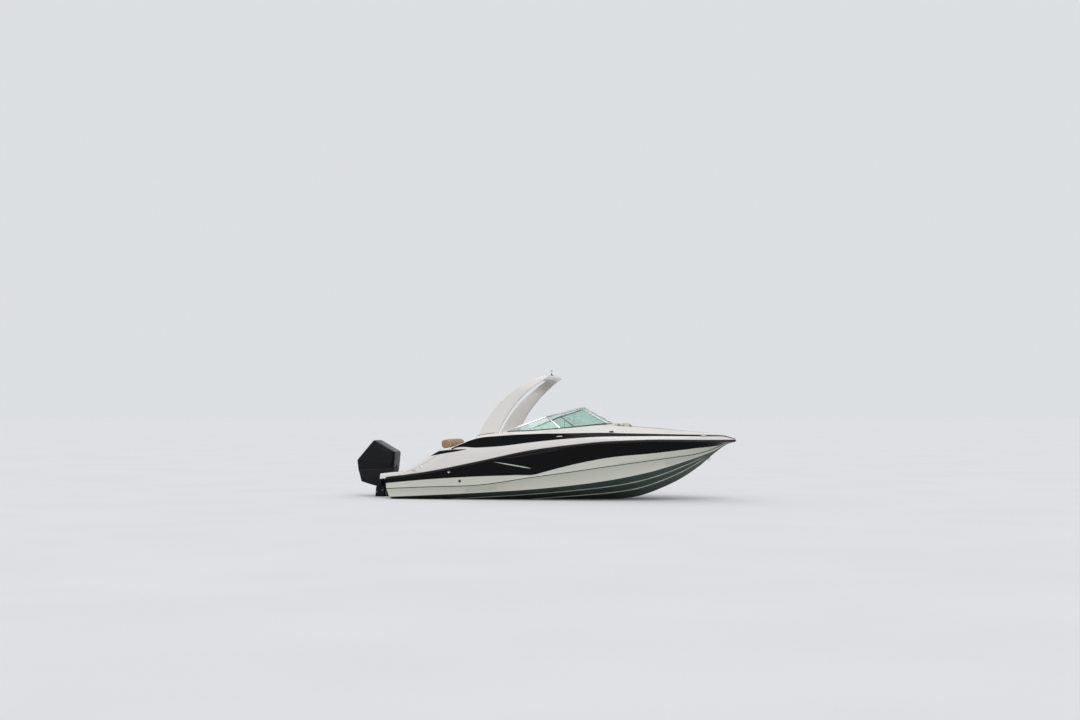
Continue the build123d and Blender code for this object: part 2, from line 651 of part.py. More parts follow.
# Consoles: under the windshield, each side of the way forward
CONSOLE_MID = (CONSOLE_IN + CONSOLE_OUT) / 2
DASH_RUN = (DASH_TOP_Z - DASH_LOW_Z) * tan(radians(COLUMN_RISE))
CONSOLE_SIDE = [
    (COCKPIT_FWD_X - LINER_T, SOLE_Z), (CONSOLE_KNEE_X, SOLE_Z),
    (CONSOLE_KNEE_X, CONSOLE_KNEE_Z), (DASH_AFT_X, DASH_LOW_Z),
    (DASH_AFT_X + DASH_RUN, DASH_TOP_Z), (COCKPIT_FWD_X - LINER_T, DASH_TOP_Z),
]
COLUMN_OUT = Vector(-cos(radians(COLUMN_RISE)), 0, sin(radians(COLUMN_RISE)))
DASH_MID = Vector(DASH_AFT_X + DASH_RUN / 2, -SEAT_Y, (DASH_LOW_Z + DASH_TOP_Z) / 2)
COLUMN_FOOT = DASH_MID - Vector(sin(radians(COLUMN_RISE)), 0, cos(radians(COLUMN_RISE))) * 60
COLUMN = Plane(origin=COLUMN_FOOT, x_dir=(0, -1, 0), z_dir=COLUMN_OUT)
with BuildPart() as helm_console:
    with BuildSketch(side_plane(-CONSOLE_MID)):
        ring(CONSOLE_SIDE)
    extrude(amount=(CONSOLE_OUT - CONSOLE_IN) / 2, both=True)
    with BuildSketch(COLUMN):
        Circle(BOSS_R)
    extrude(amount=BOSS_H)
    with BuildSketch(COLUMN):
        Circle(COLUMN_R + PIN_GAP)
    extrude(amount=BOSS_H, mode=Mode.SUBTRACT)
    for neighbour in (cockpit_liner, deck, hull):
        add(neighbour.part, mode=Mode.SUBTRACT)
save(helm_console, "helm_console")

with BuildPart() as passenger_console:
    with BuildSketch(side_plane(CONSOLE_MID)):
        ring(CONSOLE_SIDE)
    extrude(amount=(CONSOLE_OUT - CONSOLE_IN) / 2, both=True)
    for neighbour in (cockpit_liner, deck, hull):
        add(neighbour.part, mode=Mode.SUBTRACT)
save(passenger_console, "passenger_console")

# Instrument panel on the upper dash
with BuildPart() as instrument_panel:
    with BuildSketch(Plane(origin=DASH_MID, x_dir=(0, -1, 0), z_dir=COLUMN_OUT)):
        with Locations((0, 95)):
            RectangleRounded(440, 130, 20)
    extrude(amount=PANEL_T)
save(instrument_panel, "instrument_panel")

# Steering wheel: rim, three spokes, hub and the column that runs in the boss
with BuildPart() as steering_wheel:
    wheel_plane = COLUMN.offset(WHEEL_STAND)
    across = Plane(wheel_plane.origin, x_dir=wheel_plane.x_dir, z_dir=wheel_plane.y_dir)
    with BuildSketch(across):
        with Locations((WHEEL_RADIUS - WHEEL_RIM, 0)):
            Circle(WHEEL_RIM)
    revolve(axis=Axis(wheel_plane.origin, wheel_plane.z_dir))
    with BuildSketch(COLUMN.offset(1)):
        Circle(COLUMN_R)
    extrude(amount=WHEEL_STAND + WHEEL_RIM / 2)
    with BuildSketch(COLUMN.offset(WHEEL_STAND - 2 * WHEEL_RIM)):
        Circle(2 * COLUMN_R)
    extrude(amount=2 * WHEEL_RIM)
    with BuildSketch(COLUMN.offset(WHEEL_STAND - WHEEL_RIM / 2)):
        with PolarLocations(WHEEL_RADIUS / 2, 3, start_angle=90):
            Rectangle(WHEEL_RADIUS - WHEEL_RIM, 2 * WHEEL_RIM)
    extrude(amount=WHEEL_RIM / 2)
save(steering_wheel, "steering_wheel")

# Throttle control beside the wheel: base and lever in one piece
with BuildPart() as throttle_control:
    lever_plane = Plane(origin=DASH_MID + Vector(0, -290, 0), x_dir=(0, -1, 0), z_dir=COLUMN_OUT)
    with BuildSketch(lever_plane):
        with Locations((0, -40)):
            RectangleRounded(70, 130, 25)
    extrude(amount=45)
    with BuildSketch(lever_plane.offset(45)):
        with Locations((0, -40)):
            Rectangle(26, 36)
    extrude(amount=95)
save(throttle_control, "throttle_control")

# Front seats: the helm seat and its twin, each a pedestal and a swivelling bucket
for name, y in (("helm_seat", -SEAT_Y), ("passenger_seat", SEAT_Y)):
    with BuildPart() as pedestal:
        for radius, low, high in (
            (PEDESTAL_FOOT_R, SOLE_Z, SOLE_Z + PEDESTAL_FOOT_T),
            (PEDESTAL_R, SOLE_Z, SEAT_PAN_Z - MOVE_GAP),
            (SPIGOT_R, SOLE_Z, SEAT_PAN_Z - MOVE_GAP + SPIGOT_H),
        ):
            with BuildSketch(Plane.XY.offset(low)):
                with Locations((SEAT_X, y)):
                    Circle(radius)
            extrude(amount=high - low)
    save(pedestal, f"{name}_pedestal")
    with BuildPart() as shell:
        with BuildSketch(side_plane(y)):
            aft, fwd = SEAT_X - SEAT_D / 2, SEAT_X + SEAT_D / 2
            Polygon(
                (fwd, SEAT_PAN_Z), (aft, SEAT_PAN_Z), (aft - 60, SEAT_BACK_TOP - 120),
                (aft - 35, SEAT_BACK_TOP - 120), (aft + SEAT_SHELL_T, SEAT_PAN_Z + SEAT_PAN_T),
                (fwd, SEAT_PAN_Z + SEAT_PAN_T), align=None,
            )
        extrude(amount=SEAT_W / 2 - 30, both=True)
        with BuildSketch(Plane.XY.offset(SEAT_PAN_Z)):
            with Locations((SEAT_X, y)):
                Circle(SPIGOT_R + PIN_GAP)
        extrude(amount=SPIGOT_H - MOVE_GAP + PIN_GAP, mode=Mode.SUBTRACT)
    save(shell, f"{name}_shell")
    with BuildPart() as cushion:
        with BuildSketch(side_plane(y)):
            pad_top = SEAT_PAN_Z + SEAT_PAN_T + SEAT_PAD_T
            back_x = aft + SEAT_SHELL_T
            Polygon(
                (fwd, SEAT_PAN_Z + SEAT_PAN_T), (back_x, SEAT_PAN_Z + SEAT_PAN_T),
                (aft - 35, SEAT_BACK_TOP - 120), (aft - 45, SEAT_BACK_TOP),
                (aft - 45 + SEAT_BACK_T, SEAT_BACK_TOP), (back_x + SEAT_BACK_T, pad_top),
                (fwd, pad_top), align=None,
            )
        extrude(amount=SEAT_W / 2, both=True)
    save(cushion, f"{name}_cushion")

# Aft bench across the cockpit, up to the stern way
LINER_AFT_X = COCKPIT_AFT_X + LINER_T
BENCH_STARBOARD = COCKPIT_CORNER - COCKPIT_HALF
BENCH_PORT = STERN_WAY_IN - 20
with BuildPart() as aft_bench:
    with BuildSketch(Plane.XY.offset(SOLE_Z)):
        slab(LINER_AFT_X, BENCH_FWD_X, BENCH_STARBOARD, BENCH_PORT)
    extrude(amount=BENCH_TOP_Z - SOLE_Z)
save(aft_bench, "aft_bench")

with BuildPart() as aft_bench_cushion:
    with BuildSketch(Plane.XY.offset(BENCH_TOP_Z)):
        slab(LINER_AFT_X + SOFT_GAP, BENCH_FWD_X + 20, BENCH_STARBOARD, BENCH_PORT)
    extrude(amount=CUSHION_T)
save(aft_bench_cushion, "aft_bench_cushion")

with BuildPart() as aft_backrest:
    with BuildSketch(Plane.XY.offset(BENCH_TOP_Z + CUSHION_T + SOFT_GAP)):
        slab(LINER_AFT_X, LINER_AFT_X + BACKREST_T, BENCH_STARBOARD, BENCH_PORT)
    extrude(amount=BOLSTER_Z - BENCH_TOP_Z - CUSHION_T - 2 * SOFT_GAP)
save(aft_backrest, "aft_backrest")

# Tan bolster over the stern bulkhead
with BuildPart() as stern_bolster:
    with BuildSketch(side_plane((BENCH_STARBOARD + BENCH_PORT) / 2)):
        with Locations(((BOLSTER_AFT_X + BOLSTER_FWD_X) / 2, BOLSTER_Z + BOLSTER_T / 2)):
            RectangleRounded(BOLSTER_FWD_X - BOLSTER_AFT_X, BOLSTER_T, BOLSTER_T / 2 - 15)
    extrude(amount=(BENCH_PORT - BENCH_STARBOARD) / 2, both=True)
    add(deck.part, mode=Mode.SUBTRACT)
save(stern_bolster, "stern_bolster")

# Bow cushions: one along each side and one across the front
SIDE_IN = BOW_FOOTWELL[0][1] + SOFT_GAP
SIDE_AFT_X = WALKWAY_FWD_X + BOW_BACK_FOOT + LINER_T + 2 * SOFT_GAP
with BuildPart() as bow_cushion_port:
    with BuildSketch(Plane.XY.offset(BOW_SEAT_Z)):
        plan_ring(BOW_RECESS, LINER_T + SOFT_GAP)
        with Locations((SIDE_AFT_X - TALL / 2, 0), (BOW_SIDE_FWD_X + TALL / 2, 0)):
            Rectangle(TALL, TALL, mode=Mode.SUBTRACT)
        with Locations((0, SIDE_IN - TALL / 2)):
            Rectangle(2 * TALL, TALL, mode=Mode.SUBTRACT)
    extrude(amount=CUSHION_T)
save(bow_cushion_port, "bow_cushion_port")

with BuildPart() as bow_cushion_starboard:
    add(bow_cushion_port.part)
    mirror(about=Plane.XZ, mode=Mode.REPLACE)
save(bow_cushion_starboard, "bow_cushion_starboard")

with BuildPart() as bow_cushion_front:
    with BuildSketch(Plane.XY.offset(BOW_SEAT_Z)):
        plan_ring(BOW_RECESS, LINER_T + SOFT_GAP)
        front_x = max(BOW_SIDE_FWD_X, BOW_FOOTWELL[-1][0]) + SOFT_GAP
        with Locations((front_x - TALL / 2, 0)):
            Rectangle(TALL, TALL, mode=Mode.SUBTRACT)
    extrude(amount=CUSHION_T)
save(bow_cushion_front, "bow_cushion_front")

# Bow backrests: wedges against the consoles, standing above the deck
for name, side in (("bow_backrest_port", 1), ("bow_backrest_starboard", -1)):
    with BuildPart() as backrest:
        aft = WALKWAY_FWD_X + LINER_T + SOFT_GAP
        with BuildSketch(side_plane(side * (SIDE_IN + BOW_BACK_OUT) / 2)):
            Polygon(
                (aft, BOW_SEAT_Z + SOFT_GAP), (aft + BOW_BACK_FOOT, BOW_SEAT_Z + SOFT_GAP),
                (aft + BOW_BACK_FOOT - 60, BOW_BACK_TOP_Z - 100),
                (aft + BOW_BACK_FOOT / 2, BOW_BACK_TOP_Z), (aft, BOW_BACK_TOP_Z), align=None,
            )
        extrude(amount=(BOW_BACK_OUT - SIDE_IN) / 2, both=True)
    save(backrest, name)

# Door in the way forward, hinged to port, and the gate in the stern way
DOOR_HALF = WALKWAY_HALF - LINER_T - DOOR_GAP
with BuildPart() as bow_door:
    with BuildSketch(Plane.YZ.offset(BOW_DOOR_X)):
        slab(-DOOR_HALF, DOOR_HALF, BOW_SOLE_Z + DOOR_GAP, BOW_DOOR_TOP_Z)
    extrude(amount=DOOR_T)
save(bow_door, "bow_door")

with BuildPart() as stern_gate:
    with BuildSketch(Plane.YZ.offset(STERN_GATE_X)):
        slab(
            STERN_WAY_IN + DOOR_GAP, STERN_WAY_OUT - DOOR_GAP,
            PLATFORM_Z + DOOR_GAP, STERN_GATE_TOP_Z,
        )
    extrude(amount=DOOR_T)
save(stern_gate, "stern_gate")

# Clamp bracket: two cheeks on the transom joined by the tilt tube
with BuildPart() as clamp_bracket:
    for y in (CLAMP_HALF - CLAMP_T / 2, CLAMP_T / 2 - CLAMP_HALF):
        with BuildSketch(side_plane(y)):
            Polygon(
                (TRANSOM_X, TILT_Z + 30), (TILT_X - 34, TILT_Z + 20), (TILT_X - 60, TILT_Z - 50),
                (TILT_X - 10, -120), (TRANSOM_X + 60, -120), (TRANSOM_X + 30, 0), align=None,
            )
            with Locations((TILT_X, TILT_Z)):
                Circle(2.4 * TILT_TUBE_R)
        extrude(amount=CLAMP_T / 2, both=True)
    with BuildSketch(Plane.XZ):
        with Locations((TILT_X, TILT_Z)):
            Circle(TILT_TUBE_R)
    extrude(amount=CLAMP_HALF + 12, both=True)
    add(hull.part, mode=Mode.SUBTRACT)
save(clamp_bracket, "clamp_bracket")

# Swivel bracket: a hub round the tilt tube, two webs and the steering tube
HUB_HALF = CLAMP_HALF - CLAMP_T - MOVE_GAP
with BuildPart() as swivel_bracket:
    with BuildSketch(MOTOR_SIDE):
        Polygon(
            (20, -26), (30, 20), (-STEER_BACK, STEER_TOP_V), (-STEER_BACK, STEER_LOW_V),
            (-STEER_BACK + 60, STEER_LOW_V), (-60, -130), align=None,
        )
    extrude(amount=40, both=True)
    with BuildSketch(MOTOR_SIDE):
        Circle(1.8 * TILT_TUBE_R)
    extrude(amount=HUB_HALF, both=True)
    tube_foot = Plane(origin=motor_point(-STEER_BACK, STEER_LOW_V), x_dir=(0, 1, 0), z_dir=MOTOR_UP)
    with BuildSketch(tube_foot):
        Circle(STEER_TUBE_R)
    extrude(amount=STEER_TOP_V - STEER_LOW_V)
    with BuildSketch(tube_foot):
        Circle(STEER_PIN_R + PIN_GAP)
    extrude(amount=STEER_TOP_V - STEER_LOW_V, mode=Mode.SUBTRACT)
    with BuildSketch(MOTOR_SIDE):
        Circle(TILT_TUBE_R + PIN_GAP)
    extrude(amount=TALL, both=True, mode=Mode.SUBTRACT)
save(swivel_bracket, "swivel_bracket")

# Drive leg: the casing behind the steering tube, with a yoke above and below it
with BuildPart() as drive_leg:
    with BuildSketch(MOTOR_SIDE):
        ring(LEG_SIDE)
    extrude(amount=LEG_HALF, both=True)
    fillet(drive_leg.edges().filter_by(lambda e: abs(e.center().Y) > LEG_HALF - 1), 24)
    for low, high in (
        (STEER_TOP_V + MOVE_GAP, STEER_TOP_V + MOVE_GAP + YOKE_H),
        (STEER_LOW_V - MOVE_GAP - YOKE_H, STEER_LOW_V - MOVE_GAP),
    ):
        with BuildSketch(MOTOR_SIDE):
            Polygon(
                (-STEER_BACK + STEER_TUBE_R, low), (-STEER_BACK + STEER_TUBE_R, high),
                (-400, high), (-400, low), align=None,
            )
        extrude(amount=STEER_TUBE_R, both=True)
    pin_v = STEER_LOW_V - MOVE_GAP - YOKE_H / 2
    pin_foot = Plane(origin=motor_point(-STEER_BACK, pin_v), x_dir=(0, 1, 0), z_dir=MOTOR_UP)
    with BuildSketch(pin_foot):
        Circle(STEER_PIN_R)
    extrude(amount=STEER_TOP_V + MOVE_GAP + YOKE_H / 2 - pin_v)
save(drive_leg, "drive_leg")

# Cowls: upper cowl and lower chaps, both hollow round the engine block
COWL_TOP = Plane(origin=motor_point(0, 0), x_dir=MOTOR_FWD, z_dir=MOTOR_UP)
with BuildPart() as cowl_room:
    with BuildSketch(MOTOR_SIDE):
        ring(COWL_SIDE)
        offset(amount=-COWL_WALL, kind=Kind.INTERSECTION)
    extrude(amount=TALL, both=True)
    with BuildSketch(COWL_TOP):
        cowl_plan(COWL_WALL)
    extrude(amount=TALL, both=True, mode=Mode.INTERSECT)

with BuildPart() as upper_cowl:
    with BuildSketch(MOTOR_SIDE):
        ring(COWL_SIDE)
    extrude(amount=TALL, both=True)
    with BuildSketch(COWL_TOP):
        cowl_plan()
    extrude(amount=TALL, both=True, mode=Mode.INTERSECT)
    seam = upper_cowl.faces().filter_by(lambda f: f.normal_at().dot(MOTOR_UP) < -0.5)
    fillet(upper_cowl.edges() - seam.edges(), COWL_ROUND)
    add(cowl_room.part, mode=Mode.SUBTRACT)
    with BuildSketch(MOTOR_SIDE):
        engine_side(MOVE_GAP)
    extrude(amount=ENGINE_BLOCK[4] + MOVE_GAP, both=True, mode=Mode.SUBTRACT)
save(upper_cowl, "upper_cowl")

with BuildPart() as lower_cowl:
    with BuildSketch(MOTOR_SIDE):
        ring(CHAPS_SIDE)
    extrude(amount=TALL, both=True)
    with BuildSketch(COWL_TOP):
        cowl_plan(COWL_SEAM)
    extrude(amount=TALL, both=True, mode=Mode.INTERSECT)
    with BuildSketch(MOTOR_SIDE):
        engine_side(MOVE_GAP)
    extrude(amount=ENGINE_BLOCK[4] + MOVE_GAP, both=True, mode=Mode.SUBTRACT)
    add(drive_leg.part, mode=Mode.SUBTRACT)
save(lower_cowl, "lower_cowl")

# Engine block inside the upper cowl
with BuildPart() as engine_block:
    with BuildSketch(MOTOR_SIDE):
        engine_side()
    extrude(amount=ENGINE_BLOCK[4], both=True)
save(engine_block, "engine_block")

# Gearcase: ventilation plate, strut, skeg and torpedo
AFT_AXIS = MOTOR_FWD * -1
with BuildPart() as gearcase:
    with BuildSketch(MOTOR_SIDE):
        ring(STRUT_SIDE)
    extrude(amount=STRUT_HALF, both=True)
    plate = Plane(origin=motor_point(0, PLATE_V - PLATE_T), x_dir=MOTOR_FWD, z_dir=MOTOR_UP)
    with BuildSketch(plate):
        with Locations((sum(PLATE_SIDE) / 2, 0)):
            RectangleRounded(PLATE_SIDE[1] - PLATE_SIDE[0], 2 * PLATE_HALF, PLATE_HALF / 2)
    extrude(amount=PLATE_T)
    nose = Plane(origin=motor_point(TORPEDO_NOSE_U, PROP_SHAFT_V), x_dir=MOTOR_UP, z_dir=AFT_AXIS)
    torpedo_l = TORPEDO_NOSE_U - TORPEDO_END_U
    for depth, radius in ((0, 14), (45, 46), (110, TORPEDO_R), (torpedo_l, TORPEDO_R - 8)):
        with BuildSketch(nose.offset(depth)):
            Circle(radius)
    loft(ruled=True)
save(gearcase, "gearcase")

# Propeller: hub and blades of a constant pitch
hub_front = motor_point(TORPEDO_END_U - MOVE_GAP, PROP_SHAFT_V)
hub = Plane(origin=hub_front, x_dir=MOTOR_UP, z_dir=AFT_AXIS)
with BuildPart() as propeller:
    with BuildSketch(hub):
        Circle(PROP_HUB_R)
    with BuildSketch(hub.offset(PROP_HUB_L)):
        Circle(PROP_HUB_R - 6)
    loft(ruled=True)
    blade_root = hub_front + AFT_AXIS * PROP_HUB_L / 2
    for blade in range(PROP_BLADES):
        turn = radians(360 * blade / PROP_BLADES)
        outward = MOTOR_UP * cos(turn) + Vector(0, 1, 0) * sin(turn)
        around = AFT_AXIS.cross(outward)
        for radius, chord, thick in PROP_SECTIONS:
            rise = PROP_PITCH / (2 * pi * radius)
            along = (around + AFT_AXIS * rise).normalized()
            with BuildSketch(Plane(origin=blade_root + outward * radius, x_dir=along, z_dir=outward)):
                RectangleRounded(chord, thick, thick / 2.2)
        loft()
save(propeller, "propeller")

# Cleats on the dark stripe: amidships, forward and aft, standing out from the side
with BuildPart() as cleats:
    for x in CLEAT_PLACES:
        y = (line_at(DECK_STATIONS, "low_y", x) + line_at(DECK_STATIONS, "high_y", x)) / 2
        z = (line_at(DECK_STATIONS, "low_z", x) + line_at(DECK_STATIONS, "high_z", x)) / 2
        with BuildSketch(Plane.XY.offset(z)):
            Polygon(
                (x - CLEAT_L / 4, y - CLEAT_RISE), (x - CLEAT_L / 6, y + CLEAT_RISE - CLEAT_R),
                (x - CLEAT_L / 2, y + CLEAT_RISE), (x - CLEAT_L / 2, y + CLEAT_RISE + CLEAT_R),
                (x + CLEAT_L / 2, y + CLEAT_RISE + CLEAT_R), (x + CLEAT_L / 2, y + CLEAT_RISE),
                (x + CLEAT_L / 6, y + CLEAT_RISE - CLEAT_R), (x + CLEAT_L / 4, y - CLEAT_RISE),
                align=None,
            )
        extrude(amount=CLEAT_R, both=True)
    mirror(about=Plane.XZ)
    add(deck_form.part, mode=Mode.SUBTRACT)
save(cleats, "cleats")

# Bow eye: a ring on two legs, square to the stem
EYE_OUT = Vector(sin(radians(EYE_RAKE)), 0, -cos(radians(EYE_RAKE)))
EYE_MOUNT = Vector(EYE_X, 0, line_at(HULL_STATIONS, "keel_z", EYE_X)) + EYE_OUT * EYE_STAND
with BuildPart() as bow_eye:
    with BuildSketch(Plane(origin=EYE_MOUNT, x_dir=EYE_OUT, z_dir=(0, 1, 0))):
        for leg in (-EYE_R, EYE_R):
            slab(-2 * EYE_STAND, 0, leg - EYE_BAR_R, leg + EYE_BAR_R)
        Circle(EYE_R + EYE_BAR_R)
        Circle(EYE_R - EYE_BAR_R, mode=Mode.SUBTRACT)
    extrude(amount=EYE_BAR_R, both=True)
    add(hull_form.part, mode=Mode.SUBTRACT)
save(bow_eye, "bow_eye")

# All-round light on the arch
with BuildPart() as anchor_light:
    for radius, low, high in LIGHT_STEPS:
        with BuildSketch(Plane.XY.offset(ARCH_TOP_Z + low)):
            with Locations((LIGHT_X, 0)):
                Circle(radius)
        extrude(amount=high - low)
    add(arch.part, mode=Mode.SUBTRACT)
save(anchor_light, "anchor_light")
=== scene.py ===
"""Looks for an outboard bowrider with a swept arch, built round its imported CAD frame.

Metres, +X to the bow, +Y to port, +Z up, the same frame as the part's source.
"""

from __future__ import annotations

import json
import logging
import math
from dataclasses import dataclass, field
from enum import Enum
from typing import Callable, Iterable, Optional, Sequence

import bmesh
import bpy
import numpy as np
from mathutils import Matrix, Vector
from mathutils.bvhtree import BVHTree


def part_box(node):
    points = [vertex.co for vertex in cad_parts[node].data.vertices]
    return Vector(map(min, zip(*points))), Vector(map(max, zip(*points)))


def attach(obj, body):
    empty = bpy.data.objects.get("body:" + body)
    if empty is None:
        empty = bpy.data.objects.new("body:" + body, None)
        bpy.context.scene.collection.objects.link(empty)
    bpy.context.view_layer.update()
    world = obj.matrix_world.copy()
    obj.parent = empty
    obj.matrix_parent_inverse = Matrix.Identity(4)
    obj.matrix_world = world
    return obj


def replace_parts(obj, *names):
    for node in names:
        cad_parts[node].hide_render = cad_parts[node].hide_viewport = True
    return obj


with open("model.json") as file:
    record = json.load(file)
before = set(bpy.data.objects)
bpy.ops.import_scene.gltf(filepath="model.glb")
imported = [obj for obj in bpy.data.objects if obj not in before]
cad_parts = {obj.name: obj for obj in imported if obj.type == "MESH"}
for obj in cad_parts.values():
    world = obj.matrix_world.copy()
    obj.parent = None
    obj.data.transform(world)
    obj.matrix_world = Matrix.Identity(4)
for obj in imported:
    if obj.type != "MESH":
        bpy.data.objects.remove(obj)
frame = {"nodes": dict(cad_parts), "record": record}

LOG = logging.getLogger("speedboat")
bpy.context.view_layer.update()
Point = tuple[float, float, float]
Color = tuple[float, float, float, float]
SIDES = ((1, "port"), (-1, "starboard"))
CORNERS = ((-1, -1), (1, -1), (1, 1), (-1, 1))
SHARP = 32.0


# Wiring of shader nodes


class Wiring:
    """Places and joins the nodes of one shader tree."""

    def __init__(self, tree: bpy.types.NodeTree) -> None:
        """Keeps the tree.

        Args:
            tree: The material's or group's node tree.
        """
        self.tree = tree

    def place(self, kind: str, **settings: object) -> bpy.types.Node:
        """Adds a node.

        Args:
            kind: The node's type name without its ShaderNode prefix.
            **settings: Properties to set on the node.

        Returns:
            The new node.
        """
        node = self.tree.nodes.new("ShaderNode" + kind)
        for key, value in settings.items():
            setattr(node, key, value)
        return node

    def join(self, source: bpy.types.NodeSocket, target: bpy.types.NodeSocket) -> None:
        """Links an output socket to an input socket."""
        self.tree.links.new(source, target)

    def math(self, how: str, first: object, second: object = 0.0) -> bpy.types.NodeSocket:
        """Adds a math node on two numbers or sockets.

        Args:
            how: The operation's name.
            first: A number or an output socket.
            second: A number or an output socket.

        Returns:
            The node's output socket.
        """
        node = self.place("Math", operation=how)
        for socket, value in zip(node.inputs, (first, second)):
            if isinstance(value, bpy.types.NodeSocket):
                self.join(value, socket)
            else:
                socket.default_value = value
        return node.outputs[0]

    def ramp(self, source: bpy.types.NodeSocket, low: float, high: float) -> bpy.types.NodeSocket:
        """Maps a value to 0 at low and 1 at high, smoothly.

        Args:
            source: The value's socket.
            low: The value that gives 0.
            high: The value that gives 1.

        Returns:
            The mapped value's socket.
        """
        node = self.place("MapRange", interpolation_type="SMOOTHSTEP")
        self.join(source, node.inputs["Value"])
        node.inputs["From Min"].default_value = low
        node.inputs["From Max"].default_value = high
        return node.outputs["Result"]

    def blend(
        self, factor: bpy.types.NodeSocket, first: object, second: object
    ) -> bpy.types.NodeSocket:
        """Mixes two colours by a factor.

        Args:
            factor: 0 gives the first colour and 1 the second.
            first: A colour or an output socket.
            second: A colour or an output socket.

        Returns:
            The mixed colour's socket.
        """
        node = self.place("Mix", data_type="RGBA")
        self.join(factor, node.inputs[0])
        for socket, value in ((node.inputs[6], first), (node.inputs[7], second)):
            if isinstance(value, bpy.types.NodeSocket):
                self.join(value, socket)
            else:
                socket.default_value = value
        return node.outputs[2]


class Effect:
    """A shader effect shared by several finishes, kept as one node group."""

    name: str = "effect"
    inputs: tuple[tuple[str, str, float], ...] = ()
    outputs: tuple[tuple[str, str], ...] = ()
    _made: dict[str, bpy.types.NodeTree] = {}

    @classmethod
    def group(cls) -> bpy.types.NodeTree:
        """Returns the effect's node group, building it the first time."""
        if cls.name not in Effect._made:
            tree = bpy.data.node_groups.new(cls.name, "ShaderNodeTree")
            for label, kind, value in cls.inputs:
                socket = tree.interface.new_socket(label, in_out="INPUT", socket_type=kind)
                socket.default_value = value
            for label, kind in cls.outputs:
                tree.interface.new_socket(label, in_out="OUTPUT", socket_type=kind)
            wires = Wiring(tree)
            cls.wire(wires, tree.nodes.new("NodeGroupInput"), tree.nodes.new("NodeGroupOutput"))
            Effect._made[cls.name] = tree
        return Effect._made[cls.name]

    @classmethod
    def wire(cls, wires: Wiring, entry: bpy.types.Node, leave: bpy.types.Node) -> None:
        """Fills the group's tree between its input node and its output node."""
        raise NotImplementedError

    @classmethod
    def use(cls, wires: Wiring, **values: object) -> bpy.types.Node:
        """Places the effect in a material.

        Args:
            wires: The material's wiring.
            **values: Numbers, colours or sockets for the effect's inputs, spaces as underscores.

        Returns:
            The group node.
        """
        node = wires.place("Group")
        node.node_tree = cls.group()
        for key, value in values.items():
            socket = node.inputs[key.replace("_", " ")]
            if isinstance(value, bpy.types.NodeSocket):
                wires.join(value, socket)
            else:
                socket.default_value = value
        return node


class Weathering(Effect):
    """Slow, cloudy change of tone, for faded and handled surfaces."""

    name = "weathering"
    inputs = (
        ("Color", "NodeSocketColor", (1, 1, 1, 1)),
        ("Scale", "NodeSocketFloat", 2.0),
        ("Amount", "NodeSocketFloat", 0.06),
    )
    outputs = (("Color", "NodeSocketColor"), ("Mask", "NodeSocketFloat"))

    @classmethod
    def wire(cls, wires: Wiring, entry: bpy.types.Node, leave: bpy.types.Node) -> None:
        """Fills the group: two noises, one cloudy and one streaked down the surface."""
        place = wires.place("TexCoord").outputs["Object"]
        cloud = wires.place("TexNoise")
        cloud.inputs["Detail"].default_value = 5.0
        wires.join(place, cloud.inputs["Vector"])
        wires.join(entry.outputs["Scale"], cloud.inputs["Scale"])
        squeeze = wires.place("Mapping")
        squeeze.inputs["Scale"].default_value = (2.5, 2.5, 1.2)
        wires.join(place, squeeze.inputs["Vector"])
        streak = wires.place("TexNoise")
        streak.inputs["Detail"].default_value = 3.0
        wires.join(squeeze.outputs[0], streak.inputs["Vector"])
        wires.join(entry.outputs["Scale"], streak.inputs["Scale"])
        both = wires.math("MULTIPLY", cloud.outputs[0], streak.outputs[0])
        mask = wires.ramp(both, 0.12, 0.42)
        shade = wires.math("MULTIPLY", mask, entry.outputs["Amount"])
        tone = wires.math("SUBTRACT", 1.0, shade)
        mix = wires.place("Mix", data_type="RGBA", blend_type="MULTIPLY")
        mix.inputs[0].default_value = 1.0
        wires.join(entry.outputs["Color"], mix.inputs[6])
        grey = wires.place("CombineColor")
        for socket in grey.inputs[:3]:
            wires.join(tone, socket)
        wires.join(grey.outputs[0], mix.inputs[7])
        wires.join(mix.outputs[2], leave.inputs["Color"])
        wires.join(mask, leave.inputs["Mask"])


class Grain(Effect):
    """Pebbled grain of vinyl and moulded plastic: cells with creases between them."""

    name = "grain"
    inputs = (("Scale", "NodeSocketFloat", 300.0), ("Crease", "NodeSocketFloat", 0.5))
    outputs = (("Height", "NodeSocketFloat"),)

    @classmethod
    def wire(cls, wires: Wiring, entry: bpy.types.Node, leave: bpy.types.Node) -> None:
        """Fills the group: cell edges over a finer noise."""
        place = wires.place("TexCoord").outputs["Object"]
        cells = wires.place("TexVoronoi", feature="DISTANCE_TO_EDGE")
        wires.join(place, cells.inputs["Vector"])
        wires.join(entry.outputs["Scale"], cells.inputs["Scale"])
        crease = wires.ramp(cells.outputs[0], 0.0, 0.18)
        fine = wires.place("TexNoise")
        wires.join(place, fine.inputs["Vector"])
        wires.join(wires.math("MULTIPLY", entry.outputs["Scale"], 2.2), fine.inputs["Scale"])
        deep = wires.math("MULTIPLY", crease, entry.outputs["Crease"])
        wires.join(wires.math("ADD", deep, fine.outputs[0]), leave.inputs["Height"])


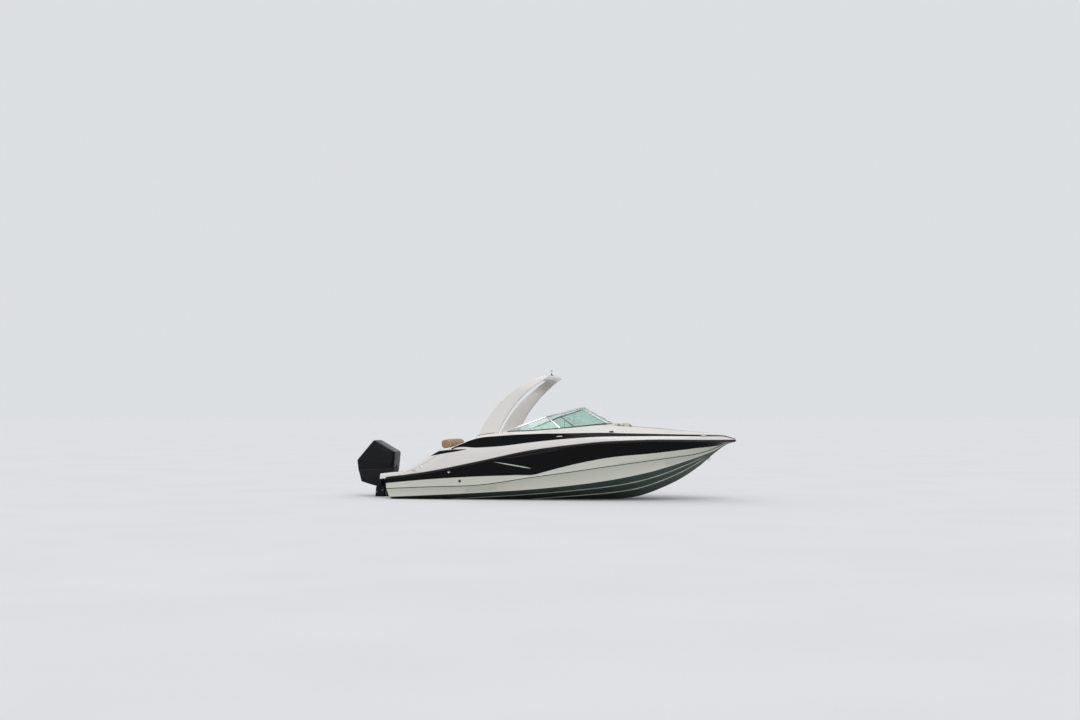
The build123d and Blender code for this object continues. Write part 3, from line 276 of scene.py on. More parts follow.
class EdgeWear(Effect):
    """Mask of the sharp outer edges, broken up by noise, where a finish rubs thin."""

    name = "edge_wear"
    inputs = (("Low", "NodeSocketFloat", 0.53), ("Amount", "NodeSocketFloat", 0.6))
    outputs = (("Mask", "NodeSocketFloat"),)

    @classmethod
    def wire(cls, wires: Wiring, entry: bpy.types.Node, leave: bpy.types.Node) -> None:
        """Fills the group: pointiness above a limit times a broken noise."""
        point = wires.place("NewGeometry").outputs["Pointiness"]
        above = wires.math("SUBTRACT", point, entry.outputs["Low"])
        edge = wires.ramp(above, 0.0, 0.08)
        noise = wires.place("TexNoise")
        noise.inputs["Scale"].default_value = 40.0
        noise.inputs["Detail"].default_value = 6.0
        wires.join(wires.place("TexCoord").outputs["Object"], noise.inputs["Vector"])
        broken = wires.math("MULTIPLY", edge, wires.ramp(noise.outputs[0], 0.42, 0.6))
        wires.join(wires.math("MULTIPLY", broken, entry.outputs["Amount"]), leave.inputs["Mask"])


class Scratches(Effect):
    """Fine lines of polishing and handling, long in one direction."""

    name = "scratches"
    inputs = (("Scale", "NodeSocketFloat", 60.0), ("Stretch", "NodeSocketFloat", 12.0))
    outputs = (("Height", "NodeSocketFloat"), ("Mask", "NodeSocketFloat"))

    @classmethod
    def wire(cls, wires: Wiring, entry: bpy.types.Node, leave: bpy.types.Node) -> None:
        """Fills the group: a noise drawn out along X."""
        spread = wires.place("SeparateXYZ")
        wires.join(wires.place("TexCoord").outputs["Object"], spread.inputs[0])
        squeezed = wires.math("DIVIDE", spread.outputs[0], entry.outputs["Stretch"])
        together = wires.place("CombineXYZ")
        wires.join(squeezed, together.inputs[0])
        wires.join(spread.outputs[1], together.inputs[1])
        wires.join(spread.outputs[2], together.inputs[2])
        noise = wires.place("TexNoise")
        noise.inputs["Detail"].default_value = 8.0
        wires.join(together.outputs[0], noise.inputs["Vector"])
        wires.join(entry.outputs["Scale"], noise.inputs["Scale"])
        wires.join(noise.outputs[0], leave.inputs["Height"])
        wires.join(wires.ramp(noise.outputs[0], 0.45, 0.7), leave.inputs["Mask"])


# Finishes


@dataclass(frozen=True)
class Finish:
    """A surface finish with the record's slot for its pieces. Each kind wires its own material."""

    name: str
    color: Color
    roughness: float = 0.4
    slot: str = ""
    _made = {}

    def material(self) -> bpy.types.Material:
        """Returns the finish's material, building it the first time."""
        if self.name not in Finish._made:
            made = bpy.data.materials.new(self.name)
            made.use_nodes = True
            made.diffuse_color = self.color
            wires = Wiring(made.node_tree)
            shader = made.node_tree.nodes["Principled BSDF"]
            shader.inputs["Base Color"].default_value = self.color
            shader.inputs["Roughness"].default_value = self.roughness
            self.wire(wires, shader)
            Finish._made[self.name] = made
        return Finish._made[self.name]

    def wire(self, wires: Wiring, shader: bpy.types.Node) -> None:
        """Wires the finish's own detail into its shader."""
        raise NotImplementedError

    def bump(
        self, wires: Wiring, shader: bpy.types.Node, height: bpy.types.NodeSocket,
        strength: float, distance: float,
    ) -> None:
        """Joins a height to the shader's normal.

        Args:
            wires: The material's wiring.
            shader: The material's shader.
            height: The height's socket.
            strength: How much of the bump shows, 0 to 1.
            distance: The height of 1, in metres.
        """
        node = wires.place("Bump")
        node.inputs["Strength"].default_value = strength
        node.inputs["Distance"].default_value = distance
        wires.join(height, node.inputs["Height"])
        wires.join(node.outputs[0], shader.inputs["Normal"])

    def rough(
        self, wires: Wiring, shader: bpy.types.Node, mask: bpy.types.NodeSocket, spread: float
    ) -> None:
        """Lets the roughness grow by spread where the mask is 1."""
        change = wires.math("MULTIPLY", mask, spread)
        wires.join(wires.math("ADD", change, self.roughness), shader.inputs["Roughness"])


@dataclass(frozen=True)
class Gelcoat(Finish):
    """Polished gelcoat: deep gloss with faint orange peel and slow change of tone."""

    roughness: float = 0.15
    peel: float = 0.0003
    fade: float = 0.03
    coat: float = 0.5
    shine: float = 0.5

    def wire(self, wires: Wiring, shader: bpy.types.Node) -> None:
        """Wires tone, peel and a clear coat."""
        weather = Weathering.use(wires, Color=self.color, Scale=0.9, Amount=self.fade)
        wires.join(weather.outputs["Color"], shader.inputs["Base Color"])
        self.rough(wires, shader, weather.outputs["Mask"], 0.08)
        peel = wires.place("TexNoise")
        peel.inputs["Scale"].default_value = 55.0
        peel.inputs["Detail"].default_value = 1.0
        wires.join(wires.place("TexCoord").outputs["Object"], peel.inputs["Vector"])
        self.bump(wires, shader, peel.outputs[0], 0.25, self.peel)
        shader.inputs["Specular IOR Level"].default_value = self.shine
        shader.inputs["Coat Weight"].default_value = self.coat
        shader.inputs["Coat Roughness"].default_value = 0.04


@dataclass(frozen=True)
class Vinyl(Finish):
    """Marine vinyl: pebbled grain, soft sheen and handled patches."""

    roughness: float = 0.42
    pebble: float = 420.0

    def wire(self, wires: Wiring, shader: bpy.types.Node) -> None:
        """Wires grain and tone."""
        weather = Weathering.use(wires, Color=self.color, Scale=4.0, Amount=0.1)
        wires.join(weather.outputs["Color"], shader.inputs["Base Color"])
        self.rough(wires, shader, weather.outputs["Mask"], 0.12)
        grain = Grain.use(wires, Scale=self.pebble, Crease=0.6).outputs["Height"]
        self.bump(wires, shader, grain, 0.5, 0.0006)
        shader.inputs["Sheen Weight"].default_value = 0.12
        shader.inputs["Specular IOR Level"].default_value = 0.45


@dataclass(frozen=True)
class Plastic(Finish):
    """Moulded plastic or rubber with a fine grain and paler rubbed edges."""

    roughness: float = 0.5
    pebble: float = 700.0
    depth: float = 0.0003
    rubbed: float = 0.15

    def wire(self, wires: Wiring, shader: bpy.types.Node) -> None:
        """Wires grain, tone and worn edges."""
        weather = Weathering.use(wires, Color=self.color, Scale=5.0, Amount=0.15)
        pale = tuple(min(1.0, c * 1.4 + 0.05) for c in self.color[:3]) + (1.0,)
        worn = EdgeWear.use(wires, Low=0.58, Amount=self.rubbed).outputs["Mask"]
        wires.join(
            wires.blend(worn, weather.outputs["Color"], pale), shader.inputs["Base Color"]
        )
        self.rough(wires, shader, weather.outputs["Mask"], 0.12)
        grain = Grain.use(wires, Scale=self.pebble, Crease=0.4).outputs["Height"]
        self.bump(wires, shader, grain, 0.4, self.depth)


@dataclass(frozen=True)
class Paint(Finish):
    """Sprayed paint on metal under a clear coat, worn at the edges."""

    roughness: float = 0.2
    coat: float = 0.8
    flake: float = 0.02
    shine: float = 0.5

    def wire(self, wires: Wiring, shader: bpy.types.Node) -> None:
        """Wires flake, tone and worn edges."""
        weather = Weathering.use(wires, Color=self.color, Scale=2.5, Amount=0.12)
        flakes = wires.place("TexVoronoi")
        flakes.inputs["Scale"].default_value = 900.0
        wires.join(wires.place("TexCoord").outputs["Object"], flakes.inputs["Vector"])
        spark = wires.math("MULTIPLY", wires.ramp(flakes.outputs[0], 0.35, 0.0), self.flake * 10)
        bright = tuple(min(1.0, c + self.flake * 4) for c in self.color[:3]) + (1.0,)
        body = wires.blend(spark, weather.outputs["Color"], bright)
        worn = EdgeWear.use(wires, Low=0.60, Amount=0.12).outputs["Mask"]
        pale = tuple(min(1.0, c + 0.04) for c in self.color[:3]) + (1.0,)
        wires.join(wires.blend(worn, body, pale), shader.inputs["Base Color"])
        self.rough(wires, shader, weather.outputs["Mask"], 0.1)
        peel = wires.place("TexNoise")
        peel.inputs["Scale"].default_value = 130.0
        wires.join(wires.place("TexCoord").outputs["Object"], peel.inputs["Vector"])
        self.bump(wires, shader, peel.outputs[0], 0.2, 0.0002)
        shader.inputs["Specular IOR Level"].default_value = self.shine
        shader.inputs["Coat Weight"].default_value = self.coat
        shader.inputs["Coat Roughness"].default_value = 0.05


@dataclass(frozen=True)
class Metal(Finish):
    """Bare metal, polished or brushed, with fine scratches."""

    roughness: float = 0.18
    brush: float = 8.0
    depth: float = 0.00008

    def wire(self, wires: Wiring, shader: bpy.types.Node) -> None:
        """Wires scratches and tone."""
        shader.inputs["Metallic"].default_value = 1.0
        lines = Scratches.use(wires, Scale=90.0, Stretch=self.brush)
        weather = Weathering.use(wires, Color=self.color, Scale=6.0, Amount=0.04)
        wires.join(weather.outputs["Color"], shader.inputs["Base Color"])
        self.rough(wires, shader, lines.outputs["Mask"], 0.04)
        self.bump(wires, shader, lines.outputs["Height"], 0.06, self.depth)


@dataclass(frozen=True)
class Glass(Finish):
    """Clear or tinted pane with a few water marks."""

    roughness: float = 0.0

    def wire(self, wires: Wiring, shader: bpy.types.Node) -> None:
        """Wires the water marks, and sets the glass's plain sockets."""
        shader.inputs["Transmission Weight"].default_value = 1.0
        shader.inputs["IOR"].default_value = 1.45
        weather = Weathering.use(wires, Color=self.color, Scale=5.0, Amount=0.08)
        wires.join(weather.outputs["Color"], shader.inputs["Base Color"])
        marks = wires.math("MULTIPLY", weather.outputs["Mask"], 0.03)
        wires.join(marks, shader.inputs["Roughness"])


@dataclass(frozen=True)
class Lamp(Finish):
    """Frosted lens that glows a little; the dial marks use it too, as a painted glow."""

    roughness: float = 0.25
    glow: float = 0.4

    def wire(self, wires: Wiring, shader: bpy.types.Node) -> None:
        """Wires ribs into the lens."""
        ribs = wires.place("TexWave", wave_type="BANDS", bands_direction="Z")
        ribs.inputs["Scale"].default_value = 120.0
        wires.join(wires.place("TexCoord").outputs["Object"], ribs.inputs["Vector"])
        self.bump(wires, shader, ribs.outputs["Fac"], 0.5, 0.0006)
        shader.inputs["Emission Color"].default_value = self.color
        shader.inputs["Emission Strength"].default_value = self.glow


class Finishes(Enum):
    """Every finish on the boat."""

    WHITE = Gelcoat("gelcoat_white", (0.86, 0.825, 0.785, 1), slot="gelcoat_white")
    # Lower hull cream, darker than the deck's white: partly the gelcoat's tone, partly painted shade of the
    # topsides.
    CREAM = Gelcoat("gelcoat_cream_shaded", (0.73, 0.73, 0.64, 1), roughness=0.18, slot="gelcoat_hull")
    # Below the chine: grey-green bottom paint, made darker with painted shade and a painted reflection of
    # green water.
    BOTTOM = Gelcoat(
        "bottom_paint_shaded", (0.066, 0.106, 0.082, 1), roughness=0.42, peel=0.0008, fade=0.22, coat=0.0, shine=0.3
    )
    # Paler strake faces: a painted highlight along the strakes' edges.
    STRAKE_HIGHLIGHT = Gelcoat("strake_painted_highlight", (0.30, 0.35, 0.29, 1), roughness=0.3, fade=0.1, coat=0.1)
    # Dark line on the ledge under the knuckle: a painted shadow line.
    SEAM = Gelcoat("knuckle_shadow_line", (0.11, 0.11, 0.095, 1), roughness=0.35, fade=0.1, coat=0.0, shine=0.3)
    BLACK = Gelcoat(
        "gelcoat_black", (0.003, 0.0028, 0.0035, 1), roughness=0.08, slot="gelcoat_hull", fade=0.2, coat=0.0,
        shine=0.14,
    )
    GRAPHITE = Gelcoat(
        "gelcoat_graphite", (0.018, 0.017, 0.019, 1), roughness=0.1, slot="gelcoat_hull", fade=0.1, coat=0.0,
        shine=0.2,
    )
    LINER = Gelcoat("liner_gelcoat", (0.76, 0.75, 0.70, 1), roughness=0.3, slot="liner_white")
    PAD = Plastic("deck_pad", (0.30, 0.24, 0.18, 1), slot="liner_white", pebble=500.0, depth=0.0006)
    PAD_DARK = Plastic("deck_pad_groove", (0.05, 0.045, 0.04, 1), slot="liner_white")
    VINYL_CREAM = Vinyl("vinyl_cream", (0.72, 0.67, 0.56, 1), slot="vinyl_cream")
    VINYL_TAN = Vinyl("vinyl_tan", (0.40, 0.215, 0.105, 1), slot="vinyl_tan")
    VINYL_BROWN = Vinyl("vinyl_brown", (0.060, 0.036, 0.028, 1), slot="vinyl_cream")
    PIPING = Vinyl("piping_white", (0.80, 0.77, 0.70, 1), roughness=0.35, pebble=900.0)
    THREAD = Plastic("thread", (0.85, 0.80, 0.70, 1), roughness=0.7, pebble=1500.0)
    RUBBER = Plastic("rubber_black", (0.012, 0.012, 0.013, 1), roughness=0.55, slot="rubber_black")
    DASH = Plastic("dash_plastic", (0.045, 0.043, 0.045, 1), roughness=0.45, slot="dash_dark")
    DASH_TRIM = Paint("dash_trim", (0.11, 0.105, 0.10, 1), roughness=0.25, slot="dash_dark")
    ALLOY = Metal("alloy_frame", (0.80, 0.81, 0.82, 1), roughness=0.22, slot="alloy_frame", brush=14.0)
    STEEL = Metal("steel_bright", (0.86, 0.86, 0.87, 1), roughness=0.08, slot="steel_bright")
    CAST = Metal(
        "cast_block", (0.25, 0.25, 0.26, 1), roughness=0.5, slot="cast_block", brush=1.0, depth=0.0006
    )
    MOTOR = Paint(
        "motor_gloss", (0.0045, 0.0045, 0.006, 1), roughness=0.22, slot="motor_black", coat=0.0, flake=0.004,
        shine=0.2,
    )
    MOTOR_GREY = Paint(
        "motor_satin", (0.008, 0.008, 0.010, 1), roughness=0.45, slot="motor_black", coat=0.0, flake=0.003,
        shine=0.2,
    )
    GLASS = Glass("tinted_glass", (0.73, 0.90, 0.83, 1))
    DIAL = Plastic("dial_face", (0.012, 0.012, 0.014, 1), roughness=0.35, slot="dash_dark")
    # White print on dials and switches, made to glow: a painted glow.
    MARK = Lamp("dial_marks_glow", (0.85, 0.88, 0.9, 1), slot="dash_dark", glow=0.5)
    LENS = Lamp("lens_clear", (0.85, 0.85, 0.82, 1), slot="lens_clear", glow=0.04)
    LENS_RED = Lamp("lens_port", (0.22, 0.008, 0.008, 1), slot="lens_clear", glow=0.05)
    LENS_GREEN = Lamp("lens_starboard", (0.004, 0.060, 0.022, 1), slot="lens_clear", glow=0.02)

    @property
    def made(self) -> bpy.types.Material:
        """The finish's material."""
        return self.value.material()


# Mesh tools


def fair(xs: Sequence[float], values: Sequence[float], x: float) -> float:
    """Reads a long line at x, smooth through its stations.

    Args:
        xs: Stations in rising order.
        values: The line's value at each station.
        x: Where to read it.

    Returns:
        The value at x, held level past the ends.
    """
    if x <= xs[0]:
        return values[0]
    if x >= xs[-1]:
        return values[-1]
    i = int(np.searchsorted(xs, x)) - 1
    i = max(0, min(i, len(xs) - 2))

    def slope(k: int) -> float:
        """Slope at a station, between the slopes of its two spans."""
        if k == 0 or k == len(xs) - 1:
            j = min(k, len(xs) - 2)
            return (values[j + 1] - values[j]) / (xs[j + 1] - xs[j])
        left, right = xs[k] - xs[k - 1], xs[k + 1] - xs[k]
        before = (values[k] - values[k - 1]) / left
        after = (values[k + 1] - values[k]) / right
        return (before * right + after * left) / (left + right)

    span = xs[i + 1] - xs[i]
    t = (x - xs[i]) / span
    return (
        (2 * t**3 - 3 * t**2 + 1) * values[i] + (t**3 - 2 * t**2 + t) * span * slope(i)
        + (3 * t**2 - 2 * t**3) * values[i + 1] + (t**3 - t**2) * span * slope(i + 1)
    )


def body_of(node: str) -> str:
    """Name of the body that a CAD node rides on."""
    for body, nodes in frame["record"]["behaviour"]["bodies"].items():
        if node in nodes:
            return body
    raise KeyError(node)


def slot_of(node: str) -> str:
    """Material slot that the record gives a CAD node."""
    for row in frame["record"]["subparts"]:
        if row["node"] == node:
            return row["material_slot"]
    raise KeyError(node)


def new_piece(
    name: str, points: Iterable[Sequence[float]], faces: Iterable[Sequence[int]],
    finishes: Sequence[Finishes], body: str = "boat", soft_angle: float = 35.0,
) -> bpy.types.Object:
    """Makes a mesh piece that rides on a body.

    Args:
        name: The piece's name.
        points: Corners in metres.
        faces: Corner numbers of each face.
        finishes: The piece's finishes, in the order of its material numbers.
        body: The CAD body that it rides on.
        soft_angle: Edges flatter than this are shaded smooth, in degrees.

    Returns:
        The piece.
    """
    mesh = bpy.data.meshes.new(name)
    mesh.from_pydata([tuple(p) for p in points], [], [tuple(f) for f in faces])
    mesh.validate()
    for finish in finishes:
        mesh.materials.append(finish.made)
    piece = bpy.data.objects.new(name, mesh)
    bpy.context.scene.collection.objects.link(piece)
    shade(piece, soft_angle)
    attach(piece, body)
    LOG.info("%s: %d faces", name, len(mesh.polygons))
    return piece


def shade(piece: bpy.types.Object, soft_angle: float) -> None:
    """Shades a piece smooth, with the edges sharper than an angle left crisp."""
    mesh = piece.data
    mesh.polygons.foreach_set("use_smooth", [True] * len(mesh.polygons))
    mesh.set_sharp_from_angle(angle=math.radians(soft_angle))


def settle(piece: bpy.types.Object) -> bpy.types.Object:
    """Applies a piece's modifiers to its mesh."""
    graph = bpy.context.evaluated_depsgraph_get()
    made = bpy.data.meshes.new_from_object(piece.evaluated_get(graph))
    old = piece.data
    piece.modifiers.clear()
    piece.data = made
    made.name = piece.name
    if old.users == 0:
        bpy.data.meshes.remove(old)
    return piece


def soften(
    piece: bpy.types.Object, width: float, segments: int = 3, soft_angle: float = 35.0
) -> bpy.types.Object:
    """Rounds a piece's sharp edges.

    Args:
        piece: The piece.
        width: Width of the rounding, in metres.
        segments: Faces across the rounding.
        soft_angle: Angle under which edges are shaded smooth afterwards.

    Returns:
        The piece.
    """
    bevel = piece.modifiers.new("round", "BEVEL")
    bevel.width = width
    bevel.segments = segments
    bevel.limit_method = "ANGLE"
    bevel.angle_limit = math.radians(SHARP)
    settle(piece)
    shade(piece, soft_angle)
    return piece


def copy_of(
    node: str, name: str, finishes: Sequence[Finishes], doubles: float, flat: float, keep: set[str]
) -> bpy.types.Object:
    """Copies a CAD node's mesh to a piece of its own, with its flat faces joined.

    Args:
        node: The CAD node.
        name: The piece's name.
        finishes: The piece's finishes.
        doubles: Corners nearer than this are joined.
        flat: Faces that meet at less than this angle are joined, in radians.
        keep: What parts faces at any angle, as Blender names it.

    Returns:
        The piece, on no body yet.
    """
    work = bmesh.new()
    work.from_mesh(frame["nodes"][node].data)
    bmesh.ops.remove_doubles(work, verts=work.verts, dist=doubles)
    bmesh.ops.dissolve_limit(work, angle_limit=flat, verts=work.verts, edges=work.edges, delimit=keep)
    mesh = bpy.data.meshes.new(name)
    work.to_mesh(mesh)
    work.free()
    mesh.materials.clear()
    for finish in finishes:
        mesh.materials.append(finish.made)
    mesh.polygons.foreach_set("material_index", [0] * len(mesh.polygons))
    piece = bpy.data.objects.new(name, mesh)
    bpy.context.scene.collection.objects.link(piece)
    return piece


def stand_in(piece: bpy.types.Object, node: str) -> None:
    """Puts a piece in a CAD node's stead, on its body."""
    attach(piece, body_of(node))
    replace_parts(piece, node)
    LOG.info("%s: %d faces in place of %s", piece.name, len(piece.data.polygons), node)


def recast(
    node: str, finish: Finishes, width: float = 0.0, segments: int = 3, flat: float = 1.0,
    soft_angle: float = 35.0,
) -> bpy.types.Object:
    """Makes a piece with the shape of a CAD node and rounded edges, in the node's stead.

    Args:
        node: The CAD node.
        finish: The piece's finish.
        width: Width of the rounding, or 0 for none.
        segments: Faces across the rounding.
        flat: Faces that meet at less than this angle are joined, in degrees.
        soft_angle: Angle under which edges are shaded smooth.

    Returns:
        The piece.
    """
    piece = copy_of(node, node + "_skin", [finish], 0.00005, math.radians(flat), {"NORMAL"})
    if width:
        soften(piece, width, segments, soft_angle)
    shade(piece, soft_angle)
    stand_in(piece, node)
    return piece


def dress(node: str, finish: Finishes) -> None:
    """Gives a CAD node that stays in view its finish."""
    body = frame["nodes"][node]
    body.data.materials.clear()
    body.data.materials.append(finish.made)


def tube(
    name: str, points: Sequence[Sequence[float]], radius: float, finish: Finishes,
    body: str = "boat", closed: bool = False, sides: int = 10,
    radii: Optional[Sequence[float]] = None,
) -> bpy.types.Object:
    """Makes a round bar along points, with closed ends.

    Args:
        name: The piece's name.
        points: The bar's middle line.
        radius: Its radius.
        finish: Its finish.
        body: The body that it rides on.
        closed: True for a ring.
        sides: Faces round the bar.
        radii: A radius at each point in place of the one radius.

    Returns:
        The piece.
    """
    path = [Vector(p) for p in points]
    count = len(path)
    ring_points: list[Vector] = []
    normal = None
    for i, here in enumerate(path):
        ahead = path[(i + 1) % count] if closed or i < count - 1 else here
        behind = path[i - 1] if closed or i > 0 else here
        along = (ahead - behind).normalized()
        if normal is None:
            trial = Vector((0, 0, 1)) if abs(along.z) < 0.9 else Vector((1, 0, 0))
            normal = (trial - along * trial.dot(along)).normalized()
        else:
            normal = (normal - along * normal.dot(along)).normalized()
        side = along.cross(normal)
        size = radii[i] if radii else radius
        for k in range(sides):
            turn = 2 * math.pi * k / sides
            ring_points.append(here + (normal * math.cos(turn) + side * math.sin(turn)) * size)
    faces = []
    for i in range(count if closed else count - 1):
        j = (i + 1) % count
        for k in range(sides):
            m = (k + 1) % sides
            faces.append((i * sides + k, i * sides + m, j * sides + m, j * sides + k))
    if not closed:
        faces.append(tuple(range(sides - 1, -1, -1)))
        faces.append(tuple((count - 1) * sides + k for k in range(sides)))
    return new_piece(name, ring_points, faces, [finish], body, soft_angle=50)


def turned(
    name: str, profile: Sequence[tuple[float, float]], foot: Sequence[float],
    axis: Sequence[float], finishes: Sequence[Finishes], body: str = "boat", slot: str = "",
    sides: int = 28, pick: Optional[Callable[[int], int]] = None,
) -> bpy.types.Object:
    """Makes a turned piece from a profile.

    Args:
        name: The piece's name.
        profile: Radius and height of each point up the axis; radius 0 closes an end.
        foot: Where the axis starts.
        axis: The axis's direction.
        finishes: The piece's finishes.
        body: The body that it rides on.
        slot: Not used.
        sides: Faces round the axis.
        pick: Gives the material number of each span of the profile.

    Returns:
        The piece.
    """
    up = Vector(axis).normalized()
    trial = Vector((1, 0, 0)) if abs(up.x) < 0.9 else Vector((0, 1, 0))
    across = (trial - up * trial.dot(up)).normalized()
    side = up.cross(across)
    origin = Vector(foot)
    points, rows = [], []
    for radius, height in profile:
        middle = origin + up * height
        if radius <= 0:
            rows.append([len(points)])
            points.append(middle)
            continue
        row = []
        for k in range(sides):
            turn = 2 * math.pi * k / sides
            row.append(len(points))
            points.append(middle + (across * math.cos(turn) + side * math.sin(turn)) * radius)
        rows.append(row)
    faces, marks = [], []
    for i, (low, high) in enumerate(zip(rows, rows[1:])):
        for k in range(sides):
            m = (k + 1) % sides
            if len(low) == 1 and len(high) == 1:
                continue
            if len(low) == 1:
                faces.append((low[0], high[m], high[k]))
            elif len(high) == 1:
                faces.append((low[k], low[m], high[0]))
            else:
                faces.append((low[k], low[m], high[m], high[k]))
            marks.append(pick(i) if pick else 0)
    piece = new_piece(name, points, faces, finishes, body, soft_angle=40)
    piece.data.polygons.foreach_set("material_index", marks)
    return piece


def rounded(
    name: str, corners: Sequence[Sequence[float]], thickness: float, normal: Sequence[float],
    finish: Finishes, edge: float, body: str = "boat",
) -> bpy.types.Object:
    """Makes a flat plate from its outline, with rounded edges.

    Args:
        name: The piece's name.
        corners: The outline's corners in space, on the plate's lower face.
        thickness: How far it rises along the normal.
        normal: The rise's direction.
        finish: Its finish.
        edge: Width of the rounding.
        body: The body that it rides on.

    Returns:
        The piece.
    """
    rise = Vector(normal).normalized() * thickness
    low = [Vector(c) for c in corners]
    points = low + [p + rise for p in low]
    n = len(low)
    faces = [tuple(range(n - 1, -1, -1)), tuple(range(n, 2 * n))]
    faces += [(i, (i + 1) % n, n + (i + 1) % n, n + i) for i in range(n)]
    piece = new_piece(name, points, faces, [finish], body)
    weld(piece)
    return soften(piece, edge)


def square(middle: Vector, across: Vector, along: Vector) -> list[Vector]:
    """Corners of a flat rectangle, from its middle and its two half sides."""
    return [middle + across * a + along * b for a, b in CORNERS]


def plate_on(
    name: str, origin: Vector, right: Vector, up: Vector,
    shape: Sequence[tuple[float, float]], thickness: float, finish: Finishes, edge: float,
    body: str = "boat",
) -> bpy.types.Object:
    """Makes a plate from an outline drawn in a plane.

    Args:
        name: The piece's name.
        origin: The plane's origin.
        right: The plane's first direction.
        up: The plane's second direction.
        shape: The outline in that plane.
        thickness: The plate's thickness, towards right x up.
        finish: Its finish.
        edge: Width of the rounding.
        body: The body that it rides on.

    Returns:
        The piece.
    """
    corners = [origin + right * u + up * v for u, v in shape]
    return rounded(name, corners, thickness, right.cross(up), finish, edge, body)


def round_rect(width: float, height: float, radius: float, steps: int = 5) -> list[tuple[float, float]]:
    """Outline of a rectangle with rounded corners about the origin.

    Args:
        width: Its width.
        height: Its height.
        radius: The corners' radius.
        steps: Points on each corner's arc, less one.

    Returns:
        The outline's points, counter-clockwise.
    """
    points = []
    for cx, cy, start in (
        (width / 2 - radius, height / 2 - radius, 0),
        (radius - width / 2, height / 2 - radius, 90),
        (radius - width / 2, radius - height / 2, 180),
        (width / 2 - radius, radius - height / 2, 270),
    ):
        for k in range(steps + 1):
            turn = math.radians(start + 90 * k / steps)
            points.append((cx + radius * math.cos(turn), cy + radius * math.sin(turn)))
    return points


def joined(name: str, pieces: Sequence[bpy.types.Object]) -> bpy.types.Object:
    """Joins pieces of one body into one, with their finishes kept.

    Args:
        name: The joined piece's name.
        pieces: The pieces. The first one's body is kept.

    Returns:
        The joined piece.
    """
    first = pieces[0]
    for other in pieces[1:]:
        lookup = []
        for material in other.data.materials:
            at = first.data.materials.find(material.name)
            if at < 0:
                first.data.materials.append(material)
                at = len(first.data.materials) - 1
            lookup.append(at)
        other.data.polygons.foreach_set(
            "material_index", [lookup[p.material_index] for p in other.data.polygons]
        )
    work = bmesh.new()
    for one in pieces:
        work.from_mesh(one.data)
    work.to_mesh(first.data)
    work.free()
    for other in pieces[1:]:
        mesh = other.data
        bpy.data.objects.remove(other)
        bpy.data.meshes.remove(mesh)
    first.name = name
    first.data.name = name
    return first


def weld(piece: bpy.types.Object, doubles: float = 0.0, slivers: float = 0.0) -> None:
    """Faces a piece's surface outward, after joining what lies together.

    Args:
        piece: The piece.
        doubles: Corners nearer than this are joined, or 0 for none.
        slivers: Edges shorter than this are closed, or 0 for none.
    """
    work = bmesh.new()
    work.from_mesh(piece.data)
    if doubles:
        bmesh.ops.remove_doubles(work, verts=work.verts, dist=doubles)
    if slivers:
        bmesh.ops.dissolve_degenerate(work, edges=work.edges, dist=slivers)
    bmesh.ops.recalc_face_normals(work, faces=work.faces)
    work.to_mesh(piece.data)
    work.free()


def tree_of(name: str) -> BVHTree:
    """Search tree of a piece's faces, by the piece's name."""
    mesh = bpy.data.objects[name].data
    corners = [v.co.copy() for v in mesh.vertices]
    return BVHTree.FromPolygons(corners, [tuple(f.vertices) for f in mesh.polygons])


def inlay(
    name: str, low: Sequence[tuple[float, float]], high: Sequence[tuple[float, float]],
    surface: Callable[[float, float, float], Vector], finish: Finishes, steps: int = 24,
    thickness: float = 0.004,
) -> bpy.types.Object:
    """Lays a thin shape on a side of the boat, between two lines drawn in x and z.

    Args:
        name: The piece's name.
        low: The lower line's points, from aft.
        high: The upper line's points, from aft.
        surface: Gives the place on the side at x and z, lifted off it.
        finish: Its finish.
        steps: Spans along it.
        thickness: How far it stands off the side.

    Returns:
        The piece.
    """
    x0, x1 = low[0][0], low[-1][0]
    points, faces = [], []
    across = (0.02, 0.16, 0.30, 0.44, 0.56, 0.70, 0.84, 0.98)
    shares = ((0.0, -0.001), *((share, thickness) for share in across), (1.0, -0.001))
    rows = len(shares)
    for k in range(steps + 1):
        x = x0 + (x1 - x0) * k / steps
        foot = float(np.interp(x, [p[0] for p in low], [p[1] for p in low]))
        head = max(float(np.interp(x, [p[0] for p in high], [p[1] for p in high])), foot + 0.001)
        points += [surface(x, foot + (head - foot) * share, lift) for share, lift in shares]
    for k in range(steps):
        for m in range(rows - 1):
            a = rows * k + m
            faces.append((a, a + rows, a + rows + 1, a + 1))
    piece = new_piece(name, points, faces, [finish])
    if piece.data.polygons[0].normal.y * points[0].y < 0:
        piece.data.flip_normals()
    return piece


